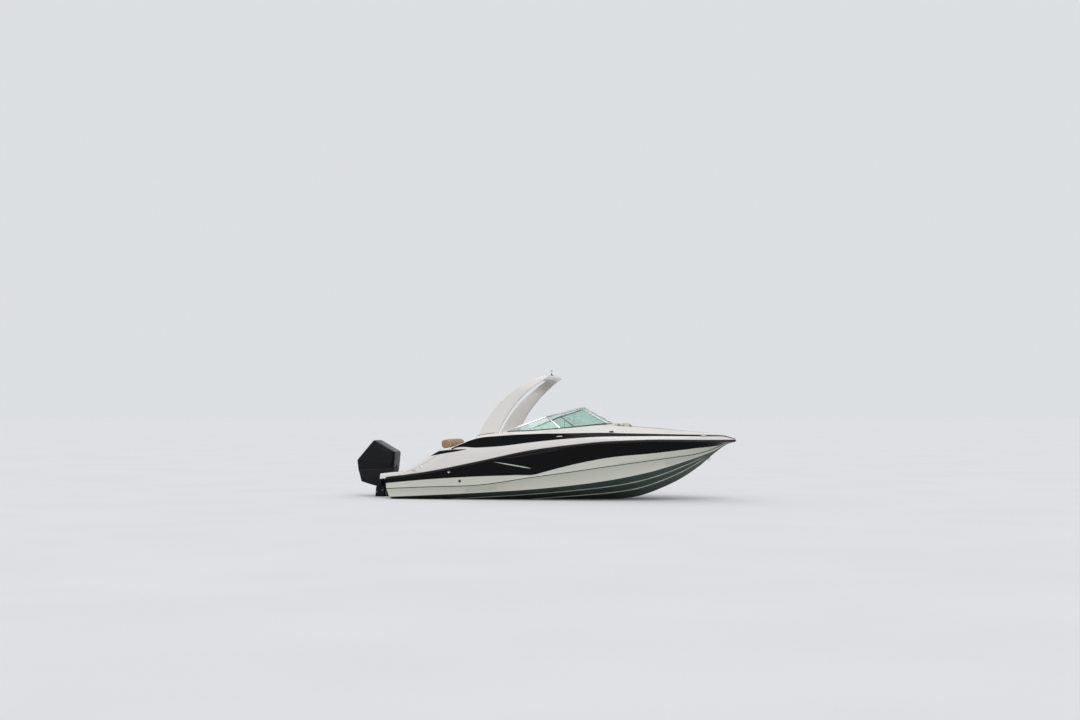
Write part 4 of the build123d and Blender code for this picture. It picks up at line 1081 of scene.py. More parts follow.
def cut(
    piece: bpy.types.Object, point: Sequence[float], normal: Sequence[float]
) -> list[list[Vector]]:
    """Cuts a piece's faces along a plane, and gives the line of the cut.

    Args:
        piece: The piece. It stays whole.
        point: A point of the plane.
        normal: The plane's normal.

    Returns:
        The closed or open lines where the plane meets the piece's surface.
    """
    work = bmesh.new()
    work.from_mesh(piece.data)
    made = bmesh.ops.bisect_plane(
        work, geom=[*work.verts, *work.edges, *work.faces], dist=0.0001,
        plane_co=Vector(point), plane_no=Vector(normal),
    )
    edges = [e for e in made["geom_cut"] if isinstance(e, bmesh.types.BMEdge)]
    links: dict[int, list[int]] = {}
    places: dict[int, Vector] = {}
    work.verts.index_update()
    for edge in edges:
        a, b = edge.verts
        places[a.index], places[b.index] = a.co.copy(), b.co.copy()
        links.setdefault(a.index, []).append(b.index)
        links.setdefault(b.index, []).append(a.index)
    work.to_mesh(piece.data)
    work.free()
    lines, seen = [], set()
    starts = [v for v, near in links.items() if len(near) == 1] + list(links)
    for start in starts:
        if start in seen:
            continue
        line, here = [], start
        while here is not None and here not in seen:
            seen.add(here)
            line.append(places[here])
            here = next((v for v in links[here] if v not in seen), None)
        if len(line) > 5:
            lines.append(line)
    return lines


def plane(axis: str, at: float) -> tuple[Point, Point]:
    """Plane across the axis named x, y or z, as a point of it and its normal."""
    normal = tuple(float(axis == one) for one in "xyz")
    return tuple(at * part for part in normal), normal


def even(line: Sequence[Vector], step: float, rounds: int) -> list[Vector]:
    """Evens out a closed line's points and smooths it.

    Args:
        line: The line's points.
        step: Distance between the new points.
        rounds: How often it is smoothed.

    Returns:
        The new points.
    """
    path = [*line, line[0]]
    reach = [0.0]
    for a, b in zip(path, path[1:]):
        reach.append(reach[-1] + (b - a).length)
    count = max(8, int(reach[-1] / step))
    marks = [reach[-1] * k / count for k in range(count)]
    rows = np.array([list(p) for p in path])
    made = np.stack([np.interp(marks, reach, rows[:, k]) for k in range(3)], axis=1)
    for _ in range(rounds):
        made = made * 0.5 + (np.roll(made, 1, axis=0) + np.roll(made, -1, axis=0)) * 0.25
    return [Vector(p) for p in made]


# Hull and deck


@dataclass
class Lines:
    """The boat's long lines as tables of stations, in metres, as in the part's source."""

    hull: tuple = (
        # x, keel z, chine y, chine z, knuckle y, knuckle z, sheer y, sheer z
        (-3.700, -0.430, 1.090, -0.010, 1.112, 0.172, 1.122, 0.412),
        (-2.700, -0.398, 1.112, -0.002, 1.172, 0.176, 1.228, 0.503),
        (-1.500, -0.365, 1.122, 0.014, 1.206, 0.178, 1.282, 0.688),
        (-0.300, -0.330, 1.120, 0.048, 1.222, 0.305, 1.296, 0.886),
        (0.600, -0.303, 1.096, 0.104, 1.196, 0.392, 1.280, 0.968),
        (1.300, -0.284, 1.040, 0.170, 1.140, 0.467, 1.244, 1.010),
        (1.900, -0.224, 0.948, 0.256, 1.050, 0.526, 1.168, 1.014),
        (2.400, -0.066, 0.834, 0.352, 0.935, 0.575, 1.080, 1.008),
        (2.900, 0.158, 0.665, 0.486, 0.762, 0.624, 0.935, 0.986),
        (3.300, 0.412, 0.478, 0.606, 0.545, 0.670, 0.745, 0.962),
        (3.650, 0.700, 0.255, 0.742, 0.290, 0.768, 0.525, 0.944),
        (3.900, 0.862, 0.095, 0.872, 0.110, 0.880, 0.320, 0.932),
        (4.090, 0.912, 0.020, 0.915, 0.026, 0.918, 0.072, 0.925),
    )
    deck: tuple = (
        # x, stripe foot y and z, stripe head y and z, edge y and z, crown z
        (-3.850, 1.092, 0.432, 1.084, 0.470, 1.062, 0.516, 0.528),
        (-3.300, 1.180, 0.470, 1.172, 0.510, 1.140, 0.548, 0.560),
        (-2.750, 1.218, 0.610, 1.206, 0.720, 1.168, 0.815, 0.840),
        (-2.400, 1.240, 0.800, 1.225, 0.910, 1.180, 0.990, 1.012),
        (-2.050, 1.252, 1.010, 1.240, 1.045, 1.185, 1.062, 1.080),
        (-1.500, 1.264, 1.012, 1.234, 1.222, 1.160, 1.275, 1.290),
        (-1.000, 1.272, 1.022, 1.234, 1.254, 1.140, 1.325, 1.338),
        (-0.300, 1.276, 1.078, 1.234, 1.266, 1.130, 1.332, 1.345),
        (0.600, 1.256, 1.128, 1.218, 1.246, 1.098, 1.362, 1.385),
        (1.300, 1.216, 1.140, 1.180, 1.227, 1.010, 1.385, 1.418),
        (1.900, 1.140, 1.122, 1.110, 1.188, 0.905, 1.322, 1.346),
        (2.400, 1.052, 1.104, 1.024, 1.157, 0.800, 1.264, 1.280),
        (2.900, 0.908, 1.082, 0.882, 1.123, 0.640, 1.196, 1.212),
        (3.300, 0.720, 1.062, 0.698, 1.097, 0.460, 1.145, 1.158),
        (3.650, 0.505, 1.042, 0.488, 1.070, 0.290, 1.088, 1.098),
        (3.900, 0.305, 1.022, 0.296, 1.044, 0.170, 1.026, 1.034),
        (4.100, 0.044, 0.952, 0.040, 0.966, 0.030, 0.978, 0.984),
    )
    band: tuple = (
        # x and z of the dark band's lower edge on the topsides
        (-3.700, 0.298), (-2.974, 0.338), (-1.830, 0.371), (-0.657, 0.372), (-0.222, 0.371),
        (-0.050, 0.410), (0.480, 0.526), (1.349, 0.666), (2.488, 0.736), (3.300, 0.800),
        (3.723, 0.835), (4.090, 0.921),
    )
    # x and half breadth of the bow's footwell
    recess: tuple = ((1.480, 0.800), (2.300, 0.700), (2.850, 0.500), (3.280, 0.230))
    platform_x: float = -2.850
    platform_half: float = 1.010
    cockpit_x: tuple[float, float] = (-2.190, 0.420)
    cockpit_half: float = 0.900
    quarter_half: float = 0.886
    corner: float = 0.110
    way_half: float = 0.310
    locker_x: tuple[float, float] = (3.390, 3.700)
    locker_half: float = 0.140
    nose_x: float = 3.200
    nose_run: float = 0.600

    def at(self, table: tuple, column: int, x: float) -> float:
        """Reads one column of a table at x, smooth through its stations."""
        return fair([row[0] for row in table], [row[column] for row in table], x)

    def hull_at(self, column: int, x: float) -> float:
        """Reads a column of the hull's table at x."""
        return self.at(self.hull, column, x)

    def deck_at(self, column: int, x: float) -> float:
        """Reads a column of the deck's table at x."""
        return self.at(self.deck, column, x)

    def nose(self, x: float) -> float:
        """Grows smoothly from 0 to 1 over the last of the bow, where the skins stand further off."""
        t = min(1.0, max(0.0, (x - self.nose_x) / self.nose_run))
        return t * t * (3.0 - 2.0 * t)

    def deck_top(self, x: float, y: float) -> float:
        """Height of the deck skin's top at a place."""
        share = min(abs(y) / self.deck_at(5, x), 1.0)
        crown, edge = self.deck_at(7, x), self.deck_at(6, x)
        return crown + (edge - crown) * share**1.4 + 0.004

    def opening(self, x: float) -> float:
        """Half breadth of the opening in the deck at x, 0 where it is closed."""
        if x < self.platform_x:
            return self.platform_half
        if x < self.cockpit_x[0]:
            return self.quarter_half
        if x < self.cockpit_x[1]:
            into = max(0.0, x - self.cockpit_x[1] + self.corner)
            return self.cockpit_half - self.corner + math.sqrt(max(0.0, self.corner**2 - into**2))
        if x < self.recess[0][0]:
            return self.way_half
        if x < self.recess[-1][0]:
            return float(np.interp(x, [r[0] for r in self.recess], [r[1] for r in self.recess]))
        return self.locker_half if self.locker_x[0] < x < self.locker_x[1] else 0.0


@dataclass
class HullShell:
    """Topsides and bottom: a fair skin over the hull's solid, with its bands and fittings."""

    lines: Lines = field(default_factory=Lines)
    proud: float = 0.004
    ledge: float = 0.009
    overhang: float = 0.014
    chine_flat: float = 0.060
    strake: float = 0.026
    strake_shares: tuple[float, float] = (0.34, 0.66)
    stern_x: float = -3.700
    tip_x: float = 4.090
    rows: int = 150
    fine_x: float = 3.000
    fine_step: float = 0.020
    rake: float = 12.0
    rake_head: float = 0.210
    well_half: float = 0.500
    well_head: float = 0.425
    nose_proud: float = 0.007
    nose_ahead: float = 0.018
    soft_angle: float = 28.0
    plate_at: tuple[float, float] = (3.790, 0.835)
    eye_at: Point = (-3.708, 0.820, 0.300)
    plug_at: Point = (-3.652, 0.0, -0.020)

    def section(self, x: float) -> list[tuple[float, float, int]]:
        """Half section at x from the keel up.

        Args:
            x: Station.

        Returns:
            Half breadth, height and the finish number of the face above each point.
        """
        keel_z, chine_y, chine_z, knuckle_y, knuckle_z, sheer_y, sheer_z = (
            self.lines.hull_at(k, x) for k in range(1, 8)
        )
        inner = chine_y - min(self.chine_flat, chine_y / 4)
        slope = (chine_z - keel_z) / inner
        width = min(self.strake, chine_y / 8)
        out = self.proud + self.nose_proud * self.lines.nose(x)
        # Finish 2 below the chine is the darker bottom: paint with painted shade and painted water
        # reflection.
        rows = [(0.0, keel_z - out, 2)]
        for share in self.strake_shares:
            y, z = share * inner, keel_z + slope * share * inner - out
            # Each strake's upright face takes the paler strake finish, a painted highlight.
            rows += [(y, z, 2), (y + width, z, 3), (y + width, z + slope * width, 2)]
        rows += [(inner, chine_z - out, 2), (chine_y + out, chine_z - out, 0)]
        rows.append((chine_y + out, chine_z + 0.012, 0))
        # The ledge face above this point takes the dark knuckle finish, a painted shadow line.
        rows.append((knuckle_y + out, knuckle_z - 0.004, 4))
        rows.append((knuckle_y + out + min(self.overhang, knuckle_y / 20), knuckle_z + 0.015, 0))
        band_z = max(self.lines.at(self.lines.band, 1, x), knuckle_z + 0.028)
        band_z = min(band_z, sheer_z - 0.004)
        ledge = min(self.ledge, max(0.0, (sheer_z - band_z) * 0.1))
        share = (band_z - knuckle_z) / max(sheer_z - knuckle_z, 1e-6)
        flare = knuckle_y + (sheer_y - knuckle_y) * share
        rows.append(((knuckle_y + flare) / 2 + out + ledge * 0.5, (knuckle_z + band_z) / 2, 0))
        rows.append((flare + out + ledge, band_z - 0.004, 0))
        rows.append((flare + out + ledge * 0.8, band_z, 1))
        rows.append((flare + out, band_z + 0.006, 1))
        for t in (0.3, 0.6, 0.85):
            y = flare + (sheer_y - flare) * t
            rows.append((y + out, band_z + (sheer_z - band_z) * t, 1))
        rows.append((sheer_y + out, sheer_z, 1))
        return rows

    def stations(self) -> list[float]:
        """Places of the skin's sections, closer together at the bow."""
        length = self.tip_x - self.stern_x
        coarse = {self.stern_x + length * k / self.rows for k in range(self.rows)}
        count = int((self.tip_x - self.fine_x) / self.fine_step)
        fine = {self.fine_x + self.fine_step * k for k in range(count + 1)}
        return sorted({x for x in coarse if x < self.fine_x} | fine | {self.tip_x})

    def build(self) -> None:
        """Builds the skin, the transom's plate and the fittings of the hull."""
        stations = self.stations()
        points, faces, marks = [], [], []
        sections = [self.section(x) for x in stations]
        count = len(sections[0])
        for x, rows in zip(stations, sections):
            ahead = self.nose_ahead * self.lines.nose(x) if x > self.stern_x else -self.proud
            rake = math.tan(math.radians(self.rake)) if x <= self.stern_x else 0.0
            for side in (1, -1):
                points += [(x + ahead + rake * max(0.0, self.rake_head - z), side * y, z) for y, z, _ in rows]
        wide = 2 * count
        for i in range(len(stations) - 1):
            for s in (0, 1):
                for k in range(count - 1):
                    a = i * wide + s * count + k
                    quad = (a, a + wide, a + wide + 1, a + 1)
                    faces.append(quad if s else quad[::-1])
                    marks.append(sections[i][k][2])
        base = len(points)
        back, half, head, foot = self.stern_x - self.proud, self.well_half, self.well_head, self.rake_head
        points += [(back, half, head), (back, half, foot), (back, -half, foot), (back, -half, head)]
        faces.append((*range(count), *range(base, base + 4), *range(2 * count - 1, count, -1)))
        marks.append(0)
        finishes = [Finishes.CREAM, Finishes.BLACK, Finishes.BOTTOM, Finishes.STRAKE_HIGHLIGHT, Finishes.SEAM]
        skin = new_piece("hull_skin", points, faces, finishes)
        skin.data.polygons.foreach_set("material_index", marks)
        weld(skin, 0.0004)
        shade(skin, self.soft_angle)
        dress("hull", Finishes.LINER)
        self.accent()
        self.fittings()

    def side_point(self, x: float, z: float, side: int, proud: float = 0.0) -> Vector:
        """Place on the topsides above the knuckle at x and z."""
        knuckle_y, knuckle_z, sheer_y, sheer_z = (self.lines.hull_at(k, x) for k in range(4, 8))
        share = (z - knuckle_z) / (sheer_z - knuckle_z)
        y = knuckle_y + (sheer_y - knuckle_y) * share + self.proud + proud
        return Vector((x, side * y, z))

    def accent(self) -> None:
        """Lays a bright trim slash into the dark band, and a lighter graphite line along its crease, a
        painted highlight.
        """
        for label, ends, width, finish in (
            ("slash_bright", (-1.137, 0.685, -0.304, 0.510), 0.022, Finishes.ALLOY),
            # Lighter graphite line along the band's crease: a painted highlight.
            ("crease_highlight", (-1.113, 0.722, 0.548, 0.929), 0.034, Finishes.GRAPHITE),
        ):
            x0, z0, x1, z1 = ends
            low, high = [], []
            for k in range(25):
                t = k / 24
                x, z = x0 + (x1 - x0) * t, z0 + (z1 - z0) * t
                half = width / 2 * min(1.0, 3.0 * t, 6.0 * (1 - t)) + 0.0006
                low.append((x, z - half))
                high.append((x, z + half))
            for side, word in SIDES:
                inlay(
                    f"{label}_{word}", low, high, lambda x, z, lift: self.side_point(x, z, side, lift),
                    finish,
                )

    def fittings(self) -> None:
        """Adds the through-hull outlets, bow plates, stern eyes and drain plug."""
        for side, word in SIDES:
            out = Vector((0, side, 0.10))
            for label, x, z, radius, finish, lift in (
                ("outlet_low", -1.953, 0.289, 0.030, Finishes.RUBBER, 0.009),
                ("outlet_high", -2.188, 0.499, 0.026, Finishes.STEEL, 0.001),
            ):
                turned(
                    f"{label}_{word}",
                    [(0, 0.001), (radius * 0.55, 0.001), (radius * 0.6, 0.006), (radius * 0.8, 0.009),
                     (radius, 0.004), (radius, -0.004)],
                    self.side_point(x, z, side, lift), out, [finish, Finishes.RUBBER], slot="steel_bright",
                    pick=lambda i: int(i < 1),
                )
            low, high = [], []
            for k in range(8):
                x, z = self.plate_at[0] + 0.02 * k, self.plate_at[1] + 0.0035 * k
                half = 0.018 * math.sin(math.pi * k / 7)
                low.append((x, z - half))
                high.append((x, z + half))
            inlay(
                f"bow_plate_{word}", low, high,
                lambda x, z, lift: self.side_point(x, z + 0.030, side, lift + 0.014), Finishes.STEEL,
            )
            eye, arc = Vector((self.eye_at[0], side * self.eye_at[1], self.eye_at[2])), []
            for k in range(13):
                turn = math.pi * k / 12
                arc.append(eye + Vector((-0.045 * math.sin(turn), 0.0, 0.028 * math.cos(turn))))
            loop = tube(f"stern_eye_{word}", arc, 0.006, Finishes.STEEL)
            corners = square(eye, Vector((0, 0.018, 0)), Vector((0, 0, 0.045)))
            base = rounded(f"stern_eye_base_{word}", corners, 0.006, (-1, 0, 0), Finishes.STEEL, 0.002)
            joined(f"stern_eye_{word}", [loop, base])
        turned(
            "drain_plug", [(0, 0.012), (0.010, 0.012), (0.012, 0.008), (0.024, 0.005), (0.026, 0.0)],
            self.plug_at, (-0.978, 0, -0.208), [Finishes.STEEL],
        )


@dataclass
class DeckShell:
    """Deck moulding: side decks, foredeck and coamings as one fair skin with its dark stripe."""

    lines: Lines = field(default_factory=Lines)
    proud: float = 0.004
    round_over: float = 0.055
    lip: float = 0.030
    top_steps: int = 8
    stripe_aft: float = -2.107
    # Outline of a black patch under the upper moulding at the stern: painted shade of the recess there.
    shade_low: tuple = ((-2.613, 0.871), (-2.297, 0.914), (-1.947, 0.957), (-1.760, 0.992))
    shade_high: tuple = ((-2.613, 0.873), (-2.411, 0.975), (-2.061, 0.995), (-1.760, 0.995))
    stern_x: float = -3.300
    tip_x: float = 4.100
    rows: int = 150
    nose_ahead: float = 0.008
    soft_angle: float = 30.0
    cleat_x: tuple[float, ...] = (0.365, 3.465, -3.000)
    cleat_long: float = 0.148
    cleat_rise: float = 0.031
    cap_at: tuple[float, float] = (-2.857, 0.635)
    sidelight_at: tuple[float, float] = (1.508, 1.236)
    rail_x: float = -3.690
    rail_long: float = 7.780
    rail_nose: float = 4.098
    latch_x: float = 3.645
    hinge_at: tuple[float, float] = (3.415, 0.085)

    def section(self, x: float) -> list[tuple[float, float, int]]:
        """Half section at x from the sheer up and in to the opening's edge."""
        low_y, low_z, high_y, high_z, edge_y, edge_z, _ = (
            self.lines.deck_at(k, x) for k in range(1, 8)
        )
        sheer_y, sheer_z = self.lines.hull_at(6, x), self.lines.hull_at(7, x)
        out = self.proud
        inner = min(self.lines.opening(x), edge_y - 0.01)
        rows = [(sheer_y + out, sheer_z, 0)]
        rows.append(((sheer_y + low_y) / 2 + out + 0.002, (sheer_z + low_z) / 2, 0))
        rows.append((low_y + out + 0.003, low_z - 0.003, 0))
        dark = 1 if x >= self.stripe_aft else 0
        rows.append((low_y + out, low_z + 0.002, dark))
        rows.append(((low_y + high_y) / 2 + out + 0.003, (low_z + high_z) / 2, dark))
        rows.append((high_y + out, high_z - 0.002, 1))
        rows.append((high_y + out + 0.003, high_z + 0.002, 0))
        slope = math.hypot(high_y - edge_y, high_z - edge_z)
        reach = min(self.round_over, (edge_y - inner) * 0.6, 0.6 * slope)
        start = (
            edge_y + (high_y - edge_y) * reach / slope + out * 0.8,
            edge_z + (high_z - edge_z) * reach / slope + out * 0.8,
        )
        end = (edge_y - reach, self.lines.deck_top(x, edge_y - reach))
        corner = (edge_y + out, edge_z + out)
        for k in range(7):
            t = k / 6
            y = (1 - t) ** 2 * start[0] + 2 * t * (1 - t) * corner[0] + t**2 * end[0]
            z = (1 - t) ** 2 * start[1] + 2 * t * (1 - t) * corner[1] + t**2 * end[1]
            rows.append((y, z, 0))
        for k in range(1, self.top_steps + 1):
            t = k / self.top_steps
            y = end[0] + (inner - end[0]) * t
            if k == self.top_steps and inner > 0:
                y = inner + 0.012
            rows.append((y, self.lines.deck_top(x, y), 0))
        top = rows[-1]
        if inner > 0:
            rows.append((inner + 0.003, top[1] - 0.005, 0))
            rows.append((inner - 0.001, top[1] - 0.016, 0))
            rows.append((inner - 0.001, top[1] - self.lip, 0))
        else:
            rows += [(0.0, top[1], 0)] * 3
        return rows

    def stations(self) -> list[float]:
        """Places of the skin's sections, doubled where the opening steps in or out."""
        lines, knots = self.lines, [row[0] for row in self.lines.recess]
        steps = [
            lines.platform_x, *lines.cockpit_x, self.stripe_aft, knots[0], knots[-1], *lines.locker_x
        ]
        coarse = [self.stern_x + (self.tip_x - self.stern_x) * k / self.rows for k in range(self.rows + 1)]
        doubled = [s + d for s in (self.stern_x, *steps) for d in (-0.0005, 0.0005)]
        start = lines.cockpit_x[1] - lines.corner
        corner = [start + lines.corner * math.sin(math.radians(9 * k)) for k in range(10)]
        places = {round(x, 5) for x in [*coarse, *doubled, *corner, *knots, self.tip_x]}
        places = sorted(x for x in places if self.stern_x <= x <= self.tip_x)
        return [x for x in places if not any(abs(x - s) < 0.0004 for s in steps)]

    def build(self) -> None:
        """Builds the skin, the rub rail and what stands on the deck."""
        stations = self.stations()
        sections = [self.section(x) for x in stations]
        count = len(sections[0])
        points, faces, marks = [], [], []
        for side in (1, -1):
            base = len(points)
            for x, rows in zip(stations, sections):
                ahead = self.nose_ahead * self.lines.nose(x)
                points += [(x + ahead, side * y, z) for y, z, _ in rows]
            for i in range(len(stations) - 1):
                for k in range(count - 1):
                    a = base + i * count + k
                    quad = (a, a + count, a + count + 1, a + 1)
                    faces.append(quad if side < 0 else quad[::-1])
                    marks.append(sections[i][k][2])
        port = (len(stations) - 1) * count
        starboard = len(points) - count
        faces.append((*range(port + 2, port + count - 3), *range(starboard + count - 5, starboard + 1, -1)))
        marks.append(0)
        skin = new_piece("deck_skin", points, faces, [Finishes.WHITE, Finishes.BLACK])
        skin.data.polygons.foreach_set("material_index", marks)
        weld(skin, 0.0003, 0.0003)
        shade(skin, self.soft_angle)
        dress("deck", Finishes.WHITE)
        self.rail()
        self.lid()
        for side, word in SIDES:
            # Black patch on each side: painted shade of the recess under the upper moulding.
            inlay(
                f"stern_shade_patch_{word}", self.shade_low, self.shade_high,
                lambda x, z, lift: self.side_point(x, z, side, lift + 0.0015), Finishes.BLACK, 48,
            )
            turned(
                f"stern_cap_{word}",
                [(0, 0.004), (0.022, 0.004), (0.026, 0.008), (0.032, 0.006), (0.034, -0.004)],
                self.side_point(*self.cap_at, side), (0, side, 0.12), [Finishes.STEEL],
            )
            lens = Finishes.LENS_RED if side > 0 else Finishes.LENS_GREEN
            self.sidelight(side, word, lens)
            self.cleat(side, word)

    def side_point(self, x: float, z: float, side: int, lift: float = 0.0) -> Vector:
        """Place on the deck moulding's outer side at x and z."""
        rows = self.section(x)
        for (y0, z0, _), (y1, z1, _) in zip(rows, rows[1:]):
            if z0 <= z <= z1 and z1 > z0:
                y = y0 + (y1 - y0) * (z - z0) / (z1 - z0)
                out = Vector((0, z1 - z0, y0 - y1)).normalized() * lift
                return Vector((x, side * (y + out.y), z + out.z))
        return Vector((x, side * (rows[0][0] + lift), z))

    def sidelight(self, side: int, word: str, lens: Finishes) -> None:
        """Adds one side's navigation light on the side deck."""
        at = self.side_point(*self.sidelight_at, side, -0.004)
        out = Vector((0.12, side, 0.35)).normalized()
        along = Vector((1, -side * 0.1, 0)).normalized()
        up = out.cross(along) * side
        for label, width, height, thick, finish in (
            ("sidelight_base", 0.100, 0.052, 0.012, Finishes.RUBBER),
            ("sidelight_lens", 0.052, 0.022, 0.019, lens),
        ):
            shape = round_rect(width, height, height * 0.49, 6)
            corners = [at + along * u + up * v for u, v in shape]
            rounded(f"{label}_{word}", corners, thick, out, finish, 0.003)

    def cleat(self, side: int, word: str) -> None:
        """Builds one side's three horn cleats on the dark stripe."""
        pieces = []
        shares = (-0.5, -0.47, -0.36, -0.18, 0.0, 0.18, 0.36, 0.47, 0.5)
        sizes = (0.002, 0.0042, 0.0062, 0.0076, 0.0080, 0.0076, 0.0062, 0.0042, 0.002)
        for number, x in enumerate(self.cleat_x):
            y = (self.lines.deck_at(1, x) + self.lines.deck_at(3, x)) / 2
            z = (self.lines.deck_at(2, x) + self.lines.deck_at(4, x)) / 2
            run = self.lines.deck_at(1, x + 0.05) - self.lines.deck_at(1, x - 0.05)
            along = Vector((0.1, side * run, 0)).normalized()
            out = Vector((0, 0, 1)).cross(along) * side
            at = Vector((x, side * (y + 0.001), z))
            bar = [at + along * self.cleat_long * s + out * (self.cleat_rise + 0.010 * s * s) for s in shares]
            pieces.append(tube(f"cleat_{word}_{number}", bar, 0.008, Finishes.STEEL, radii=sizes))
            for foot in (-0.024, 0.024):
                stem = [
                    at + along * foot * (1.25 - 0.25 * k) + out * (self.cleat_rise * k - 0.002)
                    for k in (0, 0.4, 1)
                ]
                pieces.append(
                    tube(f"cleat_stem_{word}", stem, 0.0075, Finishes.STEEL, radii=(0.011, 0.0075, 0.007))
                )
            up = Vector((0, 0, 1))
            corners = [at + along * u + up * v for u, v in round_rect(0.094, 0.030, 0.0149, 6)]
            pieces.append(rounded(f"cleat_base_{word}", corners, 0.005, out, Finishes.STEEL, 0.0015))
        made = joined(f"cleats_{word}", pieces)
        if side > 0:
            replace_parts(made, "cleats")

    def rail(self) -> None:
        """Builds the rub rail: a black rubber section with a dark graphite half-round insert."""
        path = []
        for k in range(121):
            x = self.rail_x + self.rail_long * k / 120
            path.append((x, self.lines.hull_at(6, x), self.lines.hull_at(7, x)))
        nose = (self.rail_nose, 0.0, path[-1][2])
        full = path + [nose] + [(x, -y, z) for x, y, z in reversed(path)]
        shape = (
            (0.001, -0.026), (0.016, -0.022), (0.023, -0.012), (0.021, -0.006), (0.021, 0.006),
            (0.023, 0.012), (0.016, 0.022), (0.001, 0.026),
        )
        insert = ((0.020, -0.006), (0.0265, -0.004), (0.0285, 0.0), (0.0265, 0.004), (0.020, 0.006))
        for label, outline, finish in (
            ("rub_rail_rubber", shape, Finishes.RUBBER), ("rub_rail_insert", insert, Finishes.GRAPHITE)
        ):
            points, faces = [], []
            for i, here in enumerate(full):
                ahead, behind = full[min(i + 1, len(full) - 1)], full[max(i - 1, 0)]
                run = Vector((ahead[0] - behind[0], ahead[1] - behind[1], 0)).normalized()
                out = Vector((-run.y, run.x, 0))
                points += [Vector(here) + out * u + Vector((0, 0, v)) for u, v in outline]
            n = len(outline)
            for i in range(len(full) - 1):
                for k in range(n - 1):
                    a = i * n + k
                    faces.append((a, a + n, a + n + 1, a + 1))
            faces.append(tuple(range(n)))
            faces.append(tuple(reversed(range(len(points) - n, len(points)))))
            piece = new_piece(label, points, faces, [finish], soft_angle=40)
            if label == "rub_rail_rubber":
                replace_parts(piece, "rub_rail")

    def lid(self) -> None:
        """Dresses the anchor locker's lid, its hinge line and its latch."""
        recast("anchor_locker_lid", Finishes.WHITE, 0.004)
        hinge_x, hinge_y = self.hinge_at
        turned(
            "anchor_latch", [(0, 0.006), (0.020, 0.006), (0.024, 0.003), (0.025, -0.004)],
            (self.latch_x, 0.0, self.lines.deck_top(self.latch_x, 0) - 0.002), (0.13, 0, 1), [Finishes.STEEL],
            "anchor_lid",
        )
        for side, word in SIDES:
            at = Vector((hinge_x, side * hinge_y, self.lines.deck_top(hinge_x, hinge_y) + 0.001))
            ends = [at + Vector((0, d, 0)) for d in (-0.03, 0.03)]
            tube(f"anchor_hinge_{word}", ends, 0.006, Finishes.STEEL, "anchor_lid")


# Arch and windshield


@dataclass
class Arch:
    """Swept arch with soft edges, its light and the fittings on its legs and top."""

    edge: float = 0.014
    voxel: float = 0.010
    eased: int = 18
    light_x: float = -0.005
    top_z: float = 2.590
    # x, z and reach of each hinge point
    knobs: tuple = ((-0.975, 2.020, 0.026), (-0.585, 1.995, 0.020))
    lamp_at: tuple[float, float] = (-0.200, 0.420)
    seal_x: float = -1.575
    seal_long: float = 0.430
    lines: Lines = field(default_factory=Lines)

    def build(self) -> None:
        """Builds the arch's skin and fittings."""
        skin = recast("arch", Finishes.WHITE, self.edge, 3, flat=0.02)
        grid = skin.modifiers.new("grid", "REMESH")
        grid.mode, grid.voxel_size, grid.use_smooth_shade = "VOXEL", self.voxel, True
        ease = skin.modifiers.new("ease", "SMOOTH")
        ease.factor, ease.iterations = 0.5, self.eased
        settle(skin)
        shade(skin, 60)
        recast("anchor_light", Finishes.LENS, 0.002)
        turned(
            "anchor_light_cap",
            [(0, 0.108), (0.012, 0.107), (0.019, 0.101), (0.020, 0.090), (0.0185, 0.088)],
            (self.light_x, 0, self.top_z), (0, 0, 1), [Finishes.RUBBER],
        )
        turned(
            "anchor_light_base",
            [(0.034, -0.016), (0.034, 0.004), (0.029, 0.011), (0.013, 0.015), (0.012, 0.050)],
            (self.light_x, 0, self.top_z - 0.010), (-0.04, 0, 1), [Finishes.RUBBER],
        )
        tree = tree_of("arch_skin")
        for side, word in SIDES:
            for number, (x, z, reach) in enumerate(self.knobs):
                aim = Vector((x, side * 1.06, z))
                spot, normal, _, _ = tree.find_nearest(aim)
                turned(
                    f"arch_knob_{word}_{number}",
                    [(0.016, -0.003), (0.016, 0.002), (0.008, 0.005), (0.007, 0.014), (0.012, 0.017),
                     (0.013, reach), (0.009, reach + 0.004), (0, reach + 0.004)],
                    spot, normal, [Finishes.STEEL], sides=18,
                )
            below = Vector((self.lamp_at[0], side * self.lamp_at[1], 2.0))
            spot, normal, _, _ = tree.ray_cast(below, Vector((0, 0, 1)))
            turned(
                f"arch_lamp_{word}_1",
                [(0, 0.004), (0.026, 0.004), (0.028, 0.006), (0.036, 0.005), (0.038, -0.004)],
                spot, normal, [Finishes.LENS, Finishes.STEEL], pick=lambda i: int(i > 0),
            )
            foot = []
            for k in range(25):
                x = self.seal_x + self.seal_long * k / 24
                aim = Vector((x, side * 1.14, self.lines.deck_top(x, 1.12) + 0.004))
                hit, _, _, _ = tree.find_nearest(aim)
                foot.append((x, hit.y + side * 0.001, self.lines.deck_top(x, abs(hit.y)) + 0.003))
            tube(f"arch_seal_{word}", foot, 0.006, Finishes.RUBBER, sides=6)


